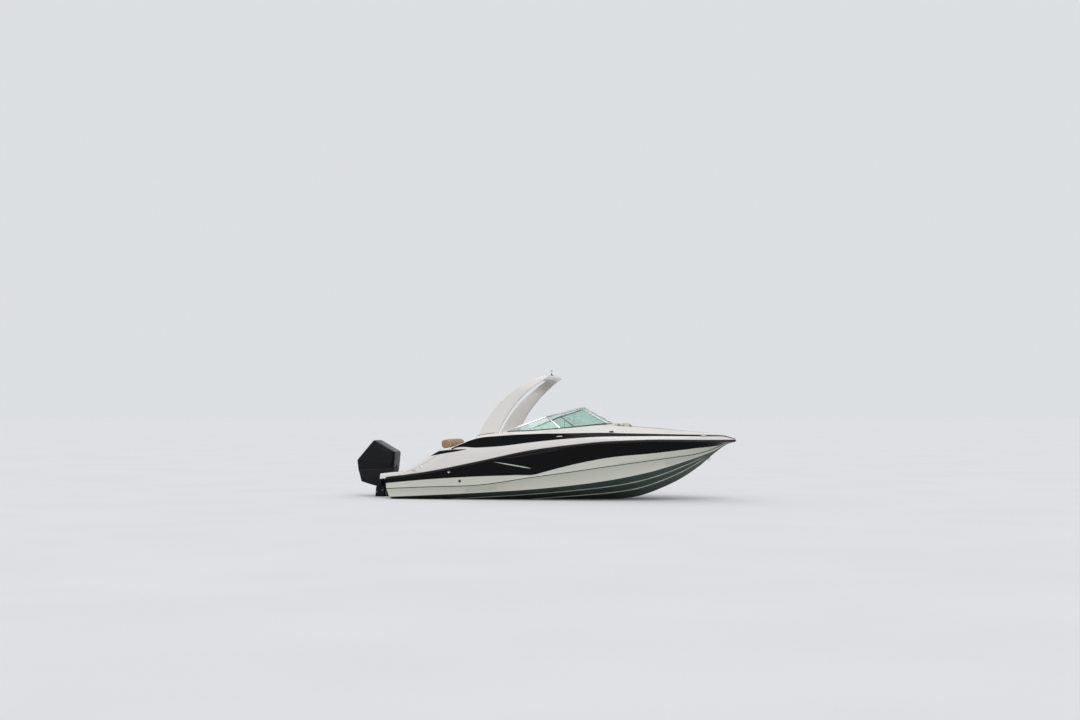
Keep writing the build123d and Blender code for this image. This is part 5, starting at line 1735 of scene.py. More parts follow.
@dataclass
class Windshield:
    """Wrapped windshield: polished frames, black seals, tinted panes and the centre gate."""

    feet: tuple = (
        # foot x and y, head x, y and z of each upright line, aft to centre
        (-0.850, 1.035, -0.800, 1.032, 1.380), (-0.300, 1.030, -0.400, 0.945, 1.518),
        (0.330, 0.930, -0.005, 0.800, 1.645), (0.870, 0.690, 0.390, 0.600, 1.732),
        (1.300, 0.345, 0.665, 0.315, 1.806),
    )
    stay_z: float = 1.392
    hinge_foot: Point = (1.309, 0.327, 1.436)
    hinge_head: Point = (0.674, 0.2986, 1.8158)
    latch_at: Point = (0.980, -0.292, 1.600)
    lines: Lines = field(default_factory=Lines)

    def build(self) -> None:
        """Dresses frames and panes, and adds seals, hinges, latch and braces."""
        recast("windshield_frame", Finishes.ALLOY, 0.006, 2)
        recast("gate_frame", Finishes.ALLOY, 0.006, 2)
        for node in (
            "side_glass_port", "side_glass_starboard", "front_glass_port", "front_glass_starboard",
            "gate_glass",
        ):
            dress(node, Finishes.GLASS)
        for side, word in SIDES:
            foot, inner = [], []
            for k in range(60):
                t = k / 59 * (len(self.feet) - 1)
                i = min(int(t), len(self.feet) - 2)
                u = t - i
                a, b = self.feet[i], self.feet[i + 1]
                x, y = a[0] + (b[0] - a[0]) * u, a[1] + (b[1] - a[1]) * u
                foot.append((x, side * y, self.lines.deck_top(x, y) + 0.004))
                rail = [a[m] + (b[m] - a[m]) * u for m in (2, 3, 4)]
                inner.append((rail[0] - 0.002, side * rail[1], rail[2] + 0.002))
            tube(f"shield_seal_{word}", foot, 0.016, Finishes.RUBBER, sides=8)
            tube(f"shield_bead_{word}", inner[::2], 0.0085, Finishes.WHITE, sides=8)
            self.brace(side, word)
        self.hinges()

    def brace(self, side: int, word: str) -> None:
        """Adds the stay from one side's console to its corner post."""
        _, _, head_x, head_y, head_z = self.feet[3]
        top = Vector((head_x - 0.012, side * (head_y - 0.01), head_z - 0.035))
        low = Vector((head_x - 0.045, side * (head_y - 0.05), self.stay_z))
        tube(f"shield_stay_{word}", [low, low.lerp(top, 0.5), top], 0.009, Finishes.ALLOY)
        turned(
            f"shield_stay_foot_{word}",
            [(0, 0.010), (0.014, 0.010), (0.022, 0.006), (0.024, -0.004)],
            (low.x, low.y, self.lines.deck_top(low.x, low.y) - 0.001), (0, 0, 1), [Finishes.ALLOY],
        )

    def hinges(self) -> None:
        """Adds the gate's hinge knuckles and its latch."""
        foot, head = Vector(self.hinge_foot), Vector(self.hinge_head)
        run = (head - foot).normalized()
        pieces = []
        for number, share in enumerate((0.18, 0.5, 0.82)):
            at = foot.lerp(head, share)
            knuckle = [at + run * d for d in (-0.03, 0, 0.03)]
            name = f"gate_hinge_{number}"
            pieces.append(tube(name, knuckle, 0.0075, Finishes.STEEL, "windshield_gate"))
        joined("gate_hinges", pieces)
        corners = square(Vector(self.latch_at), Vector((0, -0.012, 0)), run * 0.03)
        rounded(
            "gate_latch", corners, 0.014, (-0.5, 0, -0.85), Finishes.RUBBER, 0.003, "windshield_gate"
        )


# Outboard motor


@dataclass
class Outboard:
    """Outboard motor: cowls, leg, gearcase, brackets and propeller with their fasteners."""

    pivot: Point = (-3.740, 0.0, 0.285)
    trim: float = 10.0
    plan: tuple = ((-1.080, 0.165), (-0.720, 0.272), (-0.420, 0.290), (-0.200, 0.272), (-0.060, 0.215))
    panel_low: tuple = ((-0.900, 0.430), (-0.800, 0.350), (-0.300, 0.350), (-0.165, 0.400))
    panel_high: tuple = ((-0.900, 0.440), (-0.690, 0.800), (-0.560, 0.805), (-0.165, 0.640))
    seam_u: tuple[float, ...] = (-0.930, -0.720, -0.420, -0.200, -0.125)
    shaft_v: float = -0.880
    leg_half: float = 0.0878
    bolt_uv: tuple = (
        (-0.335, 0.020), (-0.455, 0.020), (-0.350, -0.240), (-0.480, -0.300), (-0.330, -0.560),
        (-0.470, -0.600),
    )
    bracket_half: float = 0.118
    bracket_bolts: tuple = ((-3.735, 0.115), (-3.730, -0.040))
    seam_ends: tuple = ((-0.105, 0.300), (-0.965, 0.150))
    slat_uv: tuple[float, float] = (-0.985, 0.438)
    slat_step: tuple[float, float] = (0.036, 0.0504)
    latch_uv: tuple[float, float] = (-0.112, 0.330)
    inlet_uv: tuple[float, float] = (-0.285, -0.770)
    inlet_step: tuple[float, float] = (0.004, 0.020)
    inlet_half: float = 0.0262
    anode_uv: tuple[float, float] = (-0.300, -0.6795)
    nut_u: float = -0.656

    def at(self, u: float, v: float, y: float = 0.0) -> Vector:
        """Place at u forward, v up and y to port in the motor's own axes."""
        turn = math.radians(self.trim)
        fwd, up = Vector((math.cos(turn), 0, -math.sin(turn))), Vector((math.sin(turn), 0, math.cos(turn)))
        return Vector(self.pivot) + fwd * u + up * v + Vector((0, y, 0))

    def way(self, u: float, v: float, y: float = 0.0) -> Vector:
        """Direction along the motor's own axes."""
        return (self.at(u, v, y) - Vector(self.pivot)).normalized()

    def half(self, u: float) -> float:
        """Half width of the cowl at u."""
        return float(np.interp(u, [p[0] for p in self.plan], [p[1] for p in self.plan]))

    def build(self) -> None:
        """Builds every part of the motor."""
        self.cowls()
        self.leg()
        self.brackets()
        self.screw()

    def cowls(self) -> None:
        """Builds the cowls with their side panels, seam, intake slats and latches."""
        recast("upper_cowl", Finishes.MOTOR, 0.0, flat=2.0, soft_angle=40)
        recast("lower_cowl", Finishes.MOTOR_GREY, 0.012, flat=2.0)
        recast("engine_block", Finishes.CAST, 0.006)
        for side, word in SIDES:
            low, high = ([(u, self.seam(u) + d) for u in self.seam_u] for d in (-0.009, 0.004))
            for label, foot, head, finish, steps, lift_off in (
                ("cowl_panel", self.panel_low, self.panel_high, Finishes.MOTOR_GREY, 40, 0.0035),
                ("cowl_seam", low, high, Finishes.RUBBER, 30, 0.0025),
            ):
                piece = inlay(
                    f"{label}_{word}", foot, head,
                    lambda u, v, lift: self.at(u, v, side * (self.half(u) + lift)), finish, steps, lift_off,
                )
                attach(piece, "motor")
        slats = []
        run = self.way(-0.655 + 1.030, 0.900 - 0.375)
        out = run.cross(Vector((0, 1, 0)))
        if out.x > 0:
            out = -out
        for k in range(6):
            u, v = (start + step * k for start, step in zip(self.slat_uv, self.slat_step))
            middle, half = self.at(u, v), self.half(u) - 0.062
            corners = square(middle, Vector((0, half, 0)), run * 0.010)
            slats.append(rounded(f"cowl_slat_{k}", corners, 0.005, out, Finishes.RUBBER, 0.002, "motor"))
        joined("cowl_slats", slats)
        corners = square(self.at(*self.latch_uv), Vector((0, 0.034, 0)), self.way(0, 1) * 0.040)
        rounded("cowl_latch", corners, 0.014, self.way(1, 0), Finishes.RUBBER, 0.005, "motor")

    def seam(self, u: float) -> float:
        """Height of the joint between the two cowls at u."""
        (u0, v0), (u1, v1) = self.seam_ends
        return v0 + (v1 - v0) * (u0 - u) / (u0 - u1)

    def leg(self) -> None:
        """Builds the leg and gearcase with water inlets, anode and fasteners."""
        recast("drive_leg", Finishes.MOTOR, 0.0, flat=2.0)
        recast("gearcase", Finishes.MOTOR, 0.004, 2, soft_angle=38)
        for side, word in SIDES:
            slots = []
            for k in range(4):
                u, v = (start - step * k for start, step in zip(self.inlet_uv, self.inlet_step))
                middle = self.at(u, v, side * self.inlet_half)
                corners = square(middle, self.way(1, 0) * 0.018, self.way(0, 1) * 0.0035)
                name, out = f"inlet_{word}_{k}", (0, side, 0)
                slots.append(rounded(name, corners, 0.002, out, Finishes.RUBBER, 0.0008, "motor"))
            joined(f"water_inlets_{word}", slots)
            bolts = []
            for k, (u, v) in enumerate(self.bolt_uv):
                head = [(0, 0.006), (0.007, 0.006), (0.010, 0.004), (0.0105, -0.002)]
                foot = self.at(u, v, side * self.leg_half)
                bolts.append(
                    turned(
                        f"leg_bolt_{word}_{k}", head, foot, (0, side, 0), [Finishes.STEEL], "motor", sides=12
                    )
                )
            joined(f"leg_bolts_{word}", bolts)
        corners = square(self.at(*self.anode_uv), self.way(1, 0) * 0.050, Vector((0, 0.030, 0)))
        rounded("anode", corners, 0.010, self.way(0, -1), Finishes.CAST, 0.004, "motor")

    def brackets(self) -> None:
        """Builds the clamp and swivel brackets with the tilt tube's nuts and the clamp's bolts."""
        recast("clamp_bracket", Finishes.MOTOR_GREY, 0.004, 2, flat=2.0)
        recast("swivel_bracket", Finishes.MOTOR_GREY, 0.004, 2, flat=2.0)
        for side, word in SIDES:
            nut = turned(
                f"tilt_nut_{word}",
                [(0, 0.022), (0.012, 0.022), (0.014, 0.018), (0.014, 0.010), (0.029, 0.010), (0.031, 0.007),
                 (0.031, -0.001)],
                self.at(0, 0, side * self.bracket_half), (0, side, 0), [Finishes.STEEL], sides=6,
            )
            bolts = [nut]
            for k, (x, z) in enumerate(self.bracket_bolts):
                head = [
                    (0, 0.010), (0.010, 0.010), (0.013, 0.007), (0.013, 0.001), (0.019, 0.001),
                    (0.019, -0.001),
                ]
                foot = (x, side * self.bracket_half, z)
                bolts.append(
                    turned(f"clamp_bolt_{word}_{k}", head, foot, (0, side, 0), [Finishes.STEEL], sides=14)
                )
            joined(f"clamp_bolts_{word}", bolts)

    def screw(self) -> None:
        """Builds the propeller with its nut."""
        recast("propeller", Finishes.STEEL, 0.0, flat=0.5, soft_angle=50)
        turned(
            "propeller_nut",
            [(0.034, -0.002), (0.034, 0.004), (0.021, 0.006), (0.021, 0.022), (0.012, 0.024), (0.012, 0.036),
             (0.009, 0.039), (0, 0.039)],
            self.at(self.nut_u, self.shaft_v), self.way(-1, 0), [Finishes.STEEL], "propeller", sides=24,
        )


# Helm and cockpit


@dataclass
class Helm:
    """Both consoles: instruments, wheel and throttle to starboard, locker door to port."""

    middle: Point = (0.29678, -0.480, 1.1375)
    rise: float = 35.0
    wheel_r: float = 0.162
    stand: float = 0.115
    # distance from the hub's middle and half width of a spoke's bar
    spoke: tuple = (
        (0.026, 0.004), (0.155, 0.0035), (0.157, 0.0125), (0.110, 0.0105), (0.060, 0.0115), (0.028, 0.018)
    )
    lever_uv: tuple[float, float] = (0.290, -0.040)
    # place and radius of each gauge
    dials: tuple = (
        (-0.160, 0.098, 0.046), (0.160, 0.098, 0.046), (-0.088, 0.070, 0.024), (0.088, 0.070, 0.024),
        (-0.088, 0.126, 0.024), (0.088, 0.126, 0.024),
    )
    screen_v: float = 0.098
    hood_half: float = 0.235
    hood_v: float = 0.168
    hood_fall: float = 0.018
    switch_u: float = -0.115
    switch_step: float = 0.055
    knob_u: float = 0.225
    wheel_drop: float = 0.060
    grab_v: float = -0.095

    def __post_init__(self) -> None:
        """Works out the sloping dash's directions."""
        turn = math.radians(self.rise)
        self.out = Vector((-math.cos(turn), 0, math.sin(turn)))
        self.up = Vector((math.sin(turn), 0, math.cos(turn)))
        self.right = Vector((0, -1, 0))

    def on_dash(self, u: float, v: float, lift: float = 0.0, side: int = -1) -> Vector:
        """Place on the dash at u to the right and v up, lifted off it."""
        origin = Vector((self.middle[0], side * abs(self.middle[1]), self.middle[2]))
        return origin + self.right * u + self.up * v + self.out * lift

    def plate(
        self, name: str, u: float, v: float, width: float, height: float, lift: float,
        thickness: float, finish: Finishes, side: int = -1, radius: float = 0.012,
    ) -> bpy.types.Object:
        """Adds a rounded plate on the dash.

        Args:
            name: The plate's name.
            u: Its middle's place to the right.
            v: Its middle's place up.
            width: Its width.
            height: Its height.
            lift: Its foot's height off the dash.
            thickness: Its thickness.
            finish: Its finish.
            side: -1 for the helm's console, 1 for the passenger's.
            radius: Radius of its corners.

        Returns:
            The plate.
        """
        shape = round_rect(width, height, radius)
        return plate_on(
            name, self.on_dash(u, v, lift, side), self.right, self.up, shape, thickness, finish,
            min(0.003, thickness * 0.35),
        )

    def build(self) -> None:
        """Builds everything on and in front of the two dashes."""
        recast("helm_console", Finishes.DASH, 0.018)
        recast("passenger_console", Finishes.DASH, 0.018)
        recast("instrument_panel", Finishes.DASH_TRIM, 0.003)
        self.gauges()
        self.wheel()
        self.throttle()
        self.passenger()

    def gauge(self, number: int, u: float, v: float, radius: float) -> list[bpy.types.Object]:
        """Builds one round gauge: bezel, face, marks and needle."""
        foot = self.on_dash(u, v, 0.0098)
        made = [
            turned(
                f"gauge_{number}",
                [(0, 0.0035), (radius * 0.86, 0.0035), (radius * 0.88, 0.008), (radius * 0.94, 0.0095),
                 (radius, 0.007), (radius, -0.001)],
                foot, self.out, [Finishes.DIAL, Finishes.STEEL],
                pick=lambda i: int(i > 0),
            )
        ]
        points, faces = [], []
        for k in range(11):
            turn = math.radians(225 - 27 * k)
            along = self.right * math.cos(turn) + self.up * math.sin(turn)
            side = along.cross(self.out)
            long = 0.17 if k % 2 == 0 else 0.10
            base = len(points)
            for r, s in ((0.80 - long, -1), (0.80, -1), (0.80, 1), (0.80 - long, 1)):
                points.append(foot + along * radius * r + side * radius * 0.022 * s + self.out * 0.0039)
            faces.append((base, base + 1, base + 2, base + 3))
        made.append(new_piece(f"gauge_marks_{number}", points, faces, [Finishes.MARK]))
        turn = math.radians(205)
        along = self.right * math.cos(turn) + self.up * math.sin(turn)
        side = along.cross(self.out)
        tip = [foot + along * radius * 0.62 + self.out * 0.0052]
        root = [foot - along * radius * 0.14 + side * radius * 0.05 * s + self.out * 0.0052 for s in (-1, 1)]
        # The needle takes the red lens finish and so glows faintly, a painted glow.
        made.append(new_piece(f"gauge_needle_{number}", tip + root, [(0, 1, 2)], [Finishes.LENS_RED]))
        return made

    def gauges(self) -> None:
        """Builds the hood, the gauges, the screen and the switches."""
        made = []
        for number, (u, v, radius) in enumerate(self.dials):
            made += self.gauge(number, u, v, radius)
        joined("gauges", made)
        v = self.screen_v
        self.plate("screen_frame", 0.0, v, 0.118, 0.094, 0.010, 0.006, Finishes.RUBBER)
        self.plate("screen_glass", 0.0, v, 0.104, 0.080, 0.0155, 0.0015, Finishes.BLACK, radius=0.004)
        hood = []
        for k in range(13):
            u = 2 * self.hood_half * k / 12 - self.hood_half
            hood.append(self.on_dash(u, self.hood_v - self.hood_fall * (u / self.hood_half) ** 2, 0.016))
        tube("dash_hood", hood, 0.020, Finishes.DASH, sides=12)
        row = []
        for k in range(6):
            u = self.switch_u + self.switch_step * k
            for label, v, width, height, lift, thickness, finish, radius in (
                ("switch", 0.006, 0.034, 0.020, -0.001, 0.007, Finishes.RUBBER, 0.004),
                ("switch_mark", 0.0105, 0.010, 0.0028, 0.006, 0.0006, Finishes.MARK, 0.001),
            ):
                row.append(
                    self.plate(f"{label}_{k}", u, v, width, height, lift, thickness, finish, radius=radius)
                )
        joined("switches", row)
        lock = turned(
            "ignition", [(0, 0.008), (0.004, 0.008), (0.0115, 0.009), (0.016, 0.006), (0.018, -0.001)],
            self.on_dash(self.knob_u, 0.006), self.out, [Finishes.STEEL], sides=20,
        )
        socket = turned(
            "power_socket", [(0, 0.003), (0.010, 0.003), (0.011, 0.007), (0.016, 0.006), (0.018, -0.001)],
            self.on_dash(self.knob_u, -0.150), self.out, [Finishes.RUBBER], sides=20,
        )
        joined("dash_knobs", [lock, socket])

    def wheel(self) -> None:
        """Builds the steering wheel: padded rim with grip seams, three slotted spokes and hub."""
        foot = Vector(self.middle) - self.up * self.wheel_drop
        hub = foot + self.out * self.stand
        rim, radii = [], []
        for k in range(96):
            turn = 2 * math.pi * k / 96
            rim.append(hub + (self.right * math.cos(turn) + self.up * math.sin(turn)) * self.wheel_r)
            grip = min(abs((k - m + 48) % 96 - 48) for m in (8, 40, 56, 88))
            radii.append(0.0128 if grip > 1 else 0.0116)
        parts = [
            tube("steering_wheel_rim", rim, 0.013, Finishes.RUBBER, "wheel", True, 14, radii)
        ]
        for number, degrees in enumerate((90, 210, 330)):
            turn = math.radians(degrees)
            along = self.right * math.cos(turn) + self.up * math.sin(turn)
            side = along.cross(self.out)
            for hand in (-1, 1):
                corners = [hub + along * r + side * (s * hand) - self.out * 0.004 for r, s in self.spoke]
                name = f"steering_spoke_{number}_{hand + 1}"
                parts.append(rounded(name, corners, 0.006, self.out, Finishes.ALLOY, 0.0018, "wheel"))
        hub_profile = [
            (0, 0.013), (0.018, 0.0125), (0.027, 0.009), (0.031, 0.003), (0.032, -0.012), (0.024, -0.026),
            (0.016, -0.030), (0.016, -0.108),
        ]
        finishes = [Finishes.RUBBER, Finishes.ALLOY]
        parts.append(
            turned(
                "steering_hub", hub_profile, hub, self.out, finishes, "wheel", "dash_dark",
                pick=lambda i: int(i >= 3),
            )
        )
        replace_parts(joined("steering_wheel_dressed", parts), "steering_wheel")

    def throttle(self) -> None:
        """Builds the throttle: base, lever, grip and trim switch."""
        u, v = self.lever_uv
        base = self.plate("throttle_base", u, v, 0.070, 0.130, 0.0, 0.030, Finishes.DASH_TRIM, radius=0.025)
        cap = self.plate("throttle_cap", u, v, 0.046, 0.090, 0.0295, 0.015, Finishes.RUBBER, radius=0.020)
        stem = [self.on_dash(u, v, 0.042 + 0.075 * t) + self.up * 0.010 * t for t in (0, 0.35, 0.7, 1)]
        lever = tube("throttle_lever", stem, 0.008, Finishes.STEEL, radii=(0.010, 0.008, 0.007, 0.008))
        grip = [stem[-1] + self.right * d for d in (-0.0135, -0.010, 0.010, 0.0135)]
        radii = (0.012, 0.018, 0.018, 0.012)
        bar = tube("throttle_grip", grip, 0.017, Finishes.RUBBER, sides=16, radii=radii)
        # The button takes the red lens finish and glows faintly, a painted glow.
        dot = turned(
            "throttle_button", [(0, 0.003), (0.005, 0.0025), (0.006, 0.0)], stem[-1] + self.out * 0.0175,
            self.out, [Finishes.LENS_RED], sides=14,
        )
        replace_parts(joined("throttle_dressed", [base, cap, lever, bar, dot]), "throttle_control")

    def passenger(self) -> None:
        """Builds the passenger side's locker door and grab rail."""
        door = self.plate("glove_door", 0.0, 0.035, 0.340, 0.170, -0.001, 0.006, Finishes.DASH_TRIM, 1, 0.020)
        latch = self.plate("glove_latch", 0.0, 0.098, 0.046, 0.022, 0.004, 0.006, Finishes.STEEL, 1, 0.0105)
        joined("glove_locker", [door, latch])
        bend = ((0.150, 0.0), (0.150, 0.030), (0.142, 0.042), (0.120, 0.046))
        path = [self.on_dash(-u, self.grab_v, lift, 1) for u, lift in bend]
        path += [self.on_dash(u, self.grab_v, lift, 1) for u, lift in reversed(bend)]
        tube("grab_rail", path, 0.0095, Finishes.STEEL, sides=12)


@dataclass
class Cockpit:
    """Cockpit and bow liners with their floor pads, speakers, cup holders, doors and lids."""

    sole_z: float = 0.3304
    platform_z: float = 0.5275
    foot_z: float = 0.5004
    foot_outline: tuple = ((1.560, 0.285), (2.380, 0.268), (2.790, 0.180))
    pitch: float = 0.048
    groove_half: float = 0.0016
    pad_thick: float = 0.004
    holder_x: tuple[float, float] = (-1.050, -0.920)
    holder_y: float = 1.010
    # x, z and radius of the aft and the bow speaker
    speaker_aft: Point = (-1.350, 0.760, 0.085)
    speaker_bow: Point = (1.900, 0.655, 0.070)
    lamp_x: tuple[float, float] = (-1.550, -0.050)
    lamp_z: float = 0.470
    lines: Lines = field(default_factory=Lines)

    def build(self) -> None:
        """Builds the liners and everything set into them."""
        recast("cockpit_liner", Finishes.LINER, 0.005, 2)
        recast("bow_liner", Finishes.LINER, 0.005, 2)
        self.aft_walls, self.bow_walls = tree_of("cockpit_liner_skin"), tree_of("bow_liner_skin")
        self.floors()
        self.speakers()
        self.doors()
        self.lids()

    def pad(
        self, name: str, x0: float, x1: float, y0: float, y1: float, z: float, thickness: float,
        body: str = "boat",
    ) -> bpy.types.Object:
        """Lays a rounded floor pad with its grooves.

        Args:
            name: The pad's name.
            x0: Its aft edge.
            x1: Its forward edge.
            y0: Its starboard edge.
            y1: Its port edge.
            z: Its foot.
            thickness: Its thickness.
            body: The body that it rides on.

        Returns:
            The pad.
        """
        middle = Vector(((x0 + x1) / 2, (y0 + y1) / 2, z))
        shape = round_rect(x1 - x0, y1 - y0, min(0.035, (x1 - x0) / 3, (y1 - y0) / 3))
        along, across = Vector((1, 0, 0)), Vector((0, 1, 0))
        made = plate_on(name, middle, along, across, shape, thickness, Finishes.PAD, 0.0015, body)
        count = int((y1 - y0 - 0.05) / self.pitch)
        rows = [middle.y + (k - count / 2) * self.pitch for k in range(count + 1)]
        lines = self.grooves(
            name, [(x0 + 0.018, x1 - 0.018, y) for y in rows], z + thickness + 0.0003, body
        )
        return joined(name, [made, lines])

    def grooves(
        self, name: str, rows: Sequence[Point], z: float, body: str = "boat"
    ) -> bpy.types.Object:
        """Lays dark grooves on a floor pad.

        Args:
            name: The pad's name.
            rows: Each groove's aft end, forward end and place across.
            z: Their height.
            body: The body that they ride on.

        Returns:
            The grooves, as one piece.
        """
        points, faces = [], []
        for aft, fore, y in rows:
            base = len(points)
            for end, hand in ((aft, -1), (fore, -1), (fore, 1), (aft, 1)):
                points.append((end, y + self.groove_half * hand, z))
            faces.append((base, base + 1, base + 2, base + 3))
        return new_piece(name + "_grooves", points, faces, [Finishes.PAD_DARK], body)

    def floors(self) -> None:
        """Lays the pads on the sole, the bow's footwell and the stern platforms."""
        sole, stern = (self.sole_z, self.pad_thick), (self.platform_z, 0.0045)
        for name, x0, x1, y0, y1, place in (
            ("sole_pad_port", -1.670, 0.270, 0.195, 0.860, sole),
            ("sole_pad_starboard", -1.670, 0.270, -0.860, -0.195, sole),
            ("sole_pad_fore", -0.815, 0.270, -0.180, 0.180, sole),
            ("sole_pad_aft", -1.670, -1.585, -0.180, 0.180, sole),
            ("way_pad", 0.300, 1.430, -0.255, 0.255, sole),
            ("platform_pad_port", -3.730, -2.905, 0.545, 0.965, stern),
            ("platform_pad_starboard", -3.730, -2.905, -0.965, -0.545, stern),
            ("platform_pad_middle", -2.948, -2.868, -0.480, 0.480, stern),
        ):
            self.pad(name, x0, x1, y0, y1, *place)
        aft, (middle_x, middle_y), (fore_x, fore_y) = self.foot_outline
        corners = [(x, y, self.foot_z) for x, y in self.foot_outline]
        corners += [(x, -y, self.foot_z) for x, y in reversed(self.foot_outline)]
        pad = rounded("bow_foot_pad", corners, self.pad_thick, (0, 0, 1), Finishes.PAD, 0.0015)
        rows = []
        for k in range(-5, 6):
            y = self.pitch * k
            end = float(np.interp(-abs(y), [-middle_y, -fore_y], [middle_x, fore_x])) - 0.02
            rows.append((aft[0] + 0.018, end, y))
        joined("bow_foot_pad", [pad, self.grooves("bow_foot", rows, self.foot_z + self.pad_thick + 0.0003)])

    def speaker(self, name: str, spot: Sequence[float], aim: Sequence[float], radius: float) -> None:
        """Builds one speaker: ring, cone and rubber surround."""
        turned(
            name,
            [(0, 0.006), (radius * 0.16, 0.005), (radius * 0.20, 0.001), (radius * 0.62, 0.006),
             (radius * 0.66, 0.009), (radius * 0.76, 0.009), (radius * 0.80, 0.005), (radius * 0.86, 0.008),
             (radius * 0.96, 0.007), (radius, 0.003), (radius, -0.001)],
            spot, aim, [Finishes.DIAL, Finishes.RUBBER, Finishes.ALLOY],
            pick=lambda i: 0 if i < 4 else (1 if i < 6 else 2),
        )

    def wall(self, tree: BVHTree, x: float, side: int, z: float) -> tuple[Vector, Vector]:
        """Finds a liner's wall by looking outward from the middle.

        Args:
            tree: The liner's search tree.
            x: Station.
            side: 1 for port, -1 for starboard.
            z: Height.

        Returns:
            The place on the wall and its normal towards the middle.
        """
        spot, normal, _, _ = tree.ray_cast(Vector((x, side * 0.05, z)), Vector((0, side, 0)))
        if spot is None:
            raise ValueError(f"no wall at {x}, {z}")
        return spot, normal if normal.y * side < 0 else -normal

    def speakers(self) -> None:
        """Sets speakers, cup holders and courtesy lamps into the liners."""
        for side, word in SIDES:
            for label, walls, (x, z, radius) in (
                ("aft", self.aft_walls, self.speaker_aft), ("bow", self.bow_walls, self.speaker_bow)
            ):
                self.speaker(f"speaker_{label}_{word}", *self.wall(walls, x, side, z), radius)
            for number, x in enumerate(self.holder_x):
                y, top, near = self.holder_y, self.lines.deck_top, 0.020
                slope = (top(x, y + near) - top(x, y - near)) / (2 * near)
                rise = (top(x + near, y) - top(x - near, y)) / (2 * near)
                turned(
                    f"cup_holder_{word}_{number}",
                    [(0, 0.0018), (0.036, 0.0018), (0.038, 0.004), (0.044, 0.0055), (0.047, 0.003),
                     (0.048, -0.002)],
                    (x, side * y, top(x, y) + 0.0005), (-rise, -side * slope, 1),
                    [Finishes.STEEL, Finishes.RUBBER], pick=lambda i: int(i < 1),
                )
            for number, x in enumerate(self.lamp_x):
                turned(
                    f"courtesy_lamp_{word}_{number}",
                    [(0, 0.003), (0.011, 0.003), (0.013, 0.006), (0.019, 0.004), (0.021, -0.001)],
                    *self.wall(self.aft_walls, x, side, self.lamp_z), [Finishes.LENS, Finishes.STEEL],
                    sides=20, pick=lambda i: int(i > 0),
                )

    def door(self, node: str, hinge_y: float, latch_y: float, z: float, body: str) -> None:
        """Dresses a door: raised panels, latch and hinge knuckles.

        Args:
            node: The door's CAD node.
            hinge_y: Where its hinge line is.
            latch_y: Where its latch is.
            z: The latch's height.
            body: The body that it rides on.
        """
        low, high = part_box(node)
        recast(node, Finishes.LINER, 0.006)
        shape = round_rect(high.y - low.y - 0.10, high.z - low.z - 0.12, 0.035)
        up = Vector((0, 0, 1))
        for face, way, word in ((low.x, -1, "aft"), (high.x, 1, "fore")):
            middle = Vector((face - way * 0.0005, (low.y + high.y) / 2, (low.z + high.z) / 2))
            right = Vector((0, way, 0))
            plate_on(
                f"{node}_panel_{word}", middle, right, up, shape, 0.0035, Finishes.VINYL_CREAM, 0.0015, body
            )
            turned(
                f"{node}_latch_{word}",
                [(0, 0.004), (0.012, 0.004), (0.014, 0.0045), (0.022, 0.0035), (0.024, -0.001)],
                (face, latch_y, z), (way, 0, 0), [Finishes.STEEL], body, sides=22,
            )
        pins = []
        for k, share in enumerate((0.2, 0.8)):
            here = low.z + (high.z - low.z) * share
            pin = [(low.x - 0.001, hinge_y, here + d) for d in (-0.030, 0.0, 0.030)]
            pins.append(tube(f"{node}_hinge_{k}", pin, 0.0035, Finishes.STEEL, body))
        joined(f"{node}_hinges", pins)

    def doors(self) -> None:
        """Dresses the door in the way forward and the stern gate."""
        for node, inset, latch_z in (("bow_door", 0.060, 1.120), ("stern_gate", 0.050, 0.880)):
            low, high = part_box(node)
            self.door(node, high.y - 0.010, low.y + inset, latch_z, node)

    def lids(self) -> None:
        """Dresses the sole locker's lid with its pad and lift ring."""
        recast("sole_locker_lid", Finishes.LINER, 0.003, 2)
        low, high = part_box("sole_locker_lid")
        inset = 0.016
        self.pad(
            "sole_lid_pad", low.x + inset, high.x - inset, low.y + inset, high.y - inset, high.z - 0.0003,
            self.pad_thick, "sole_lid",
        )
        turned(
            "sole_lid_ring",
            [(0, 0.0015), (0.014, 0.0015), (0.016, 0.0045), (0.026, 0.0045), (0.029, 0.003), (0.030, 0.0)],
            (high.x - 0.085, 0.0, high.z + 0.0015), (0, 0, 1), [Finishes.STEEL], "sole_lid",
        )
        recast("bow_eye", Finishes.STEEL, 0.002, 2)


# Upholstery


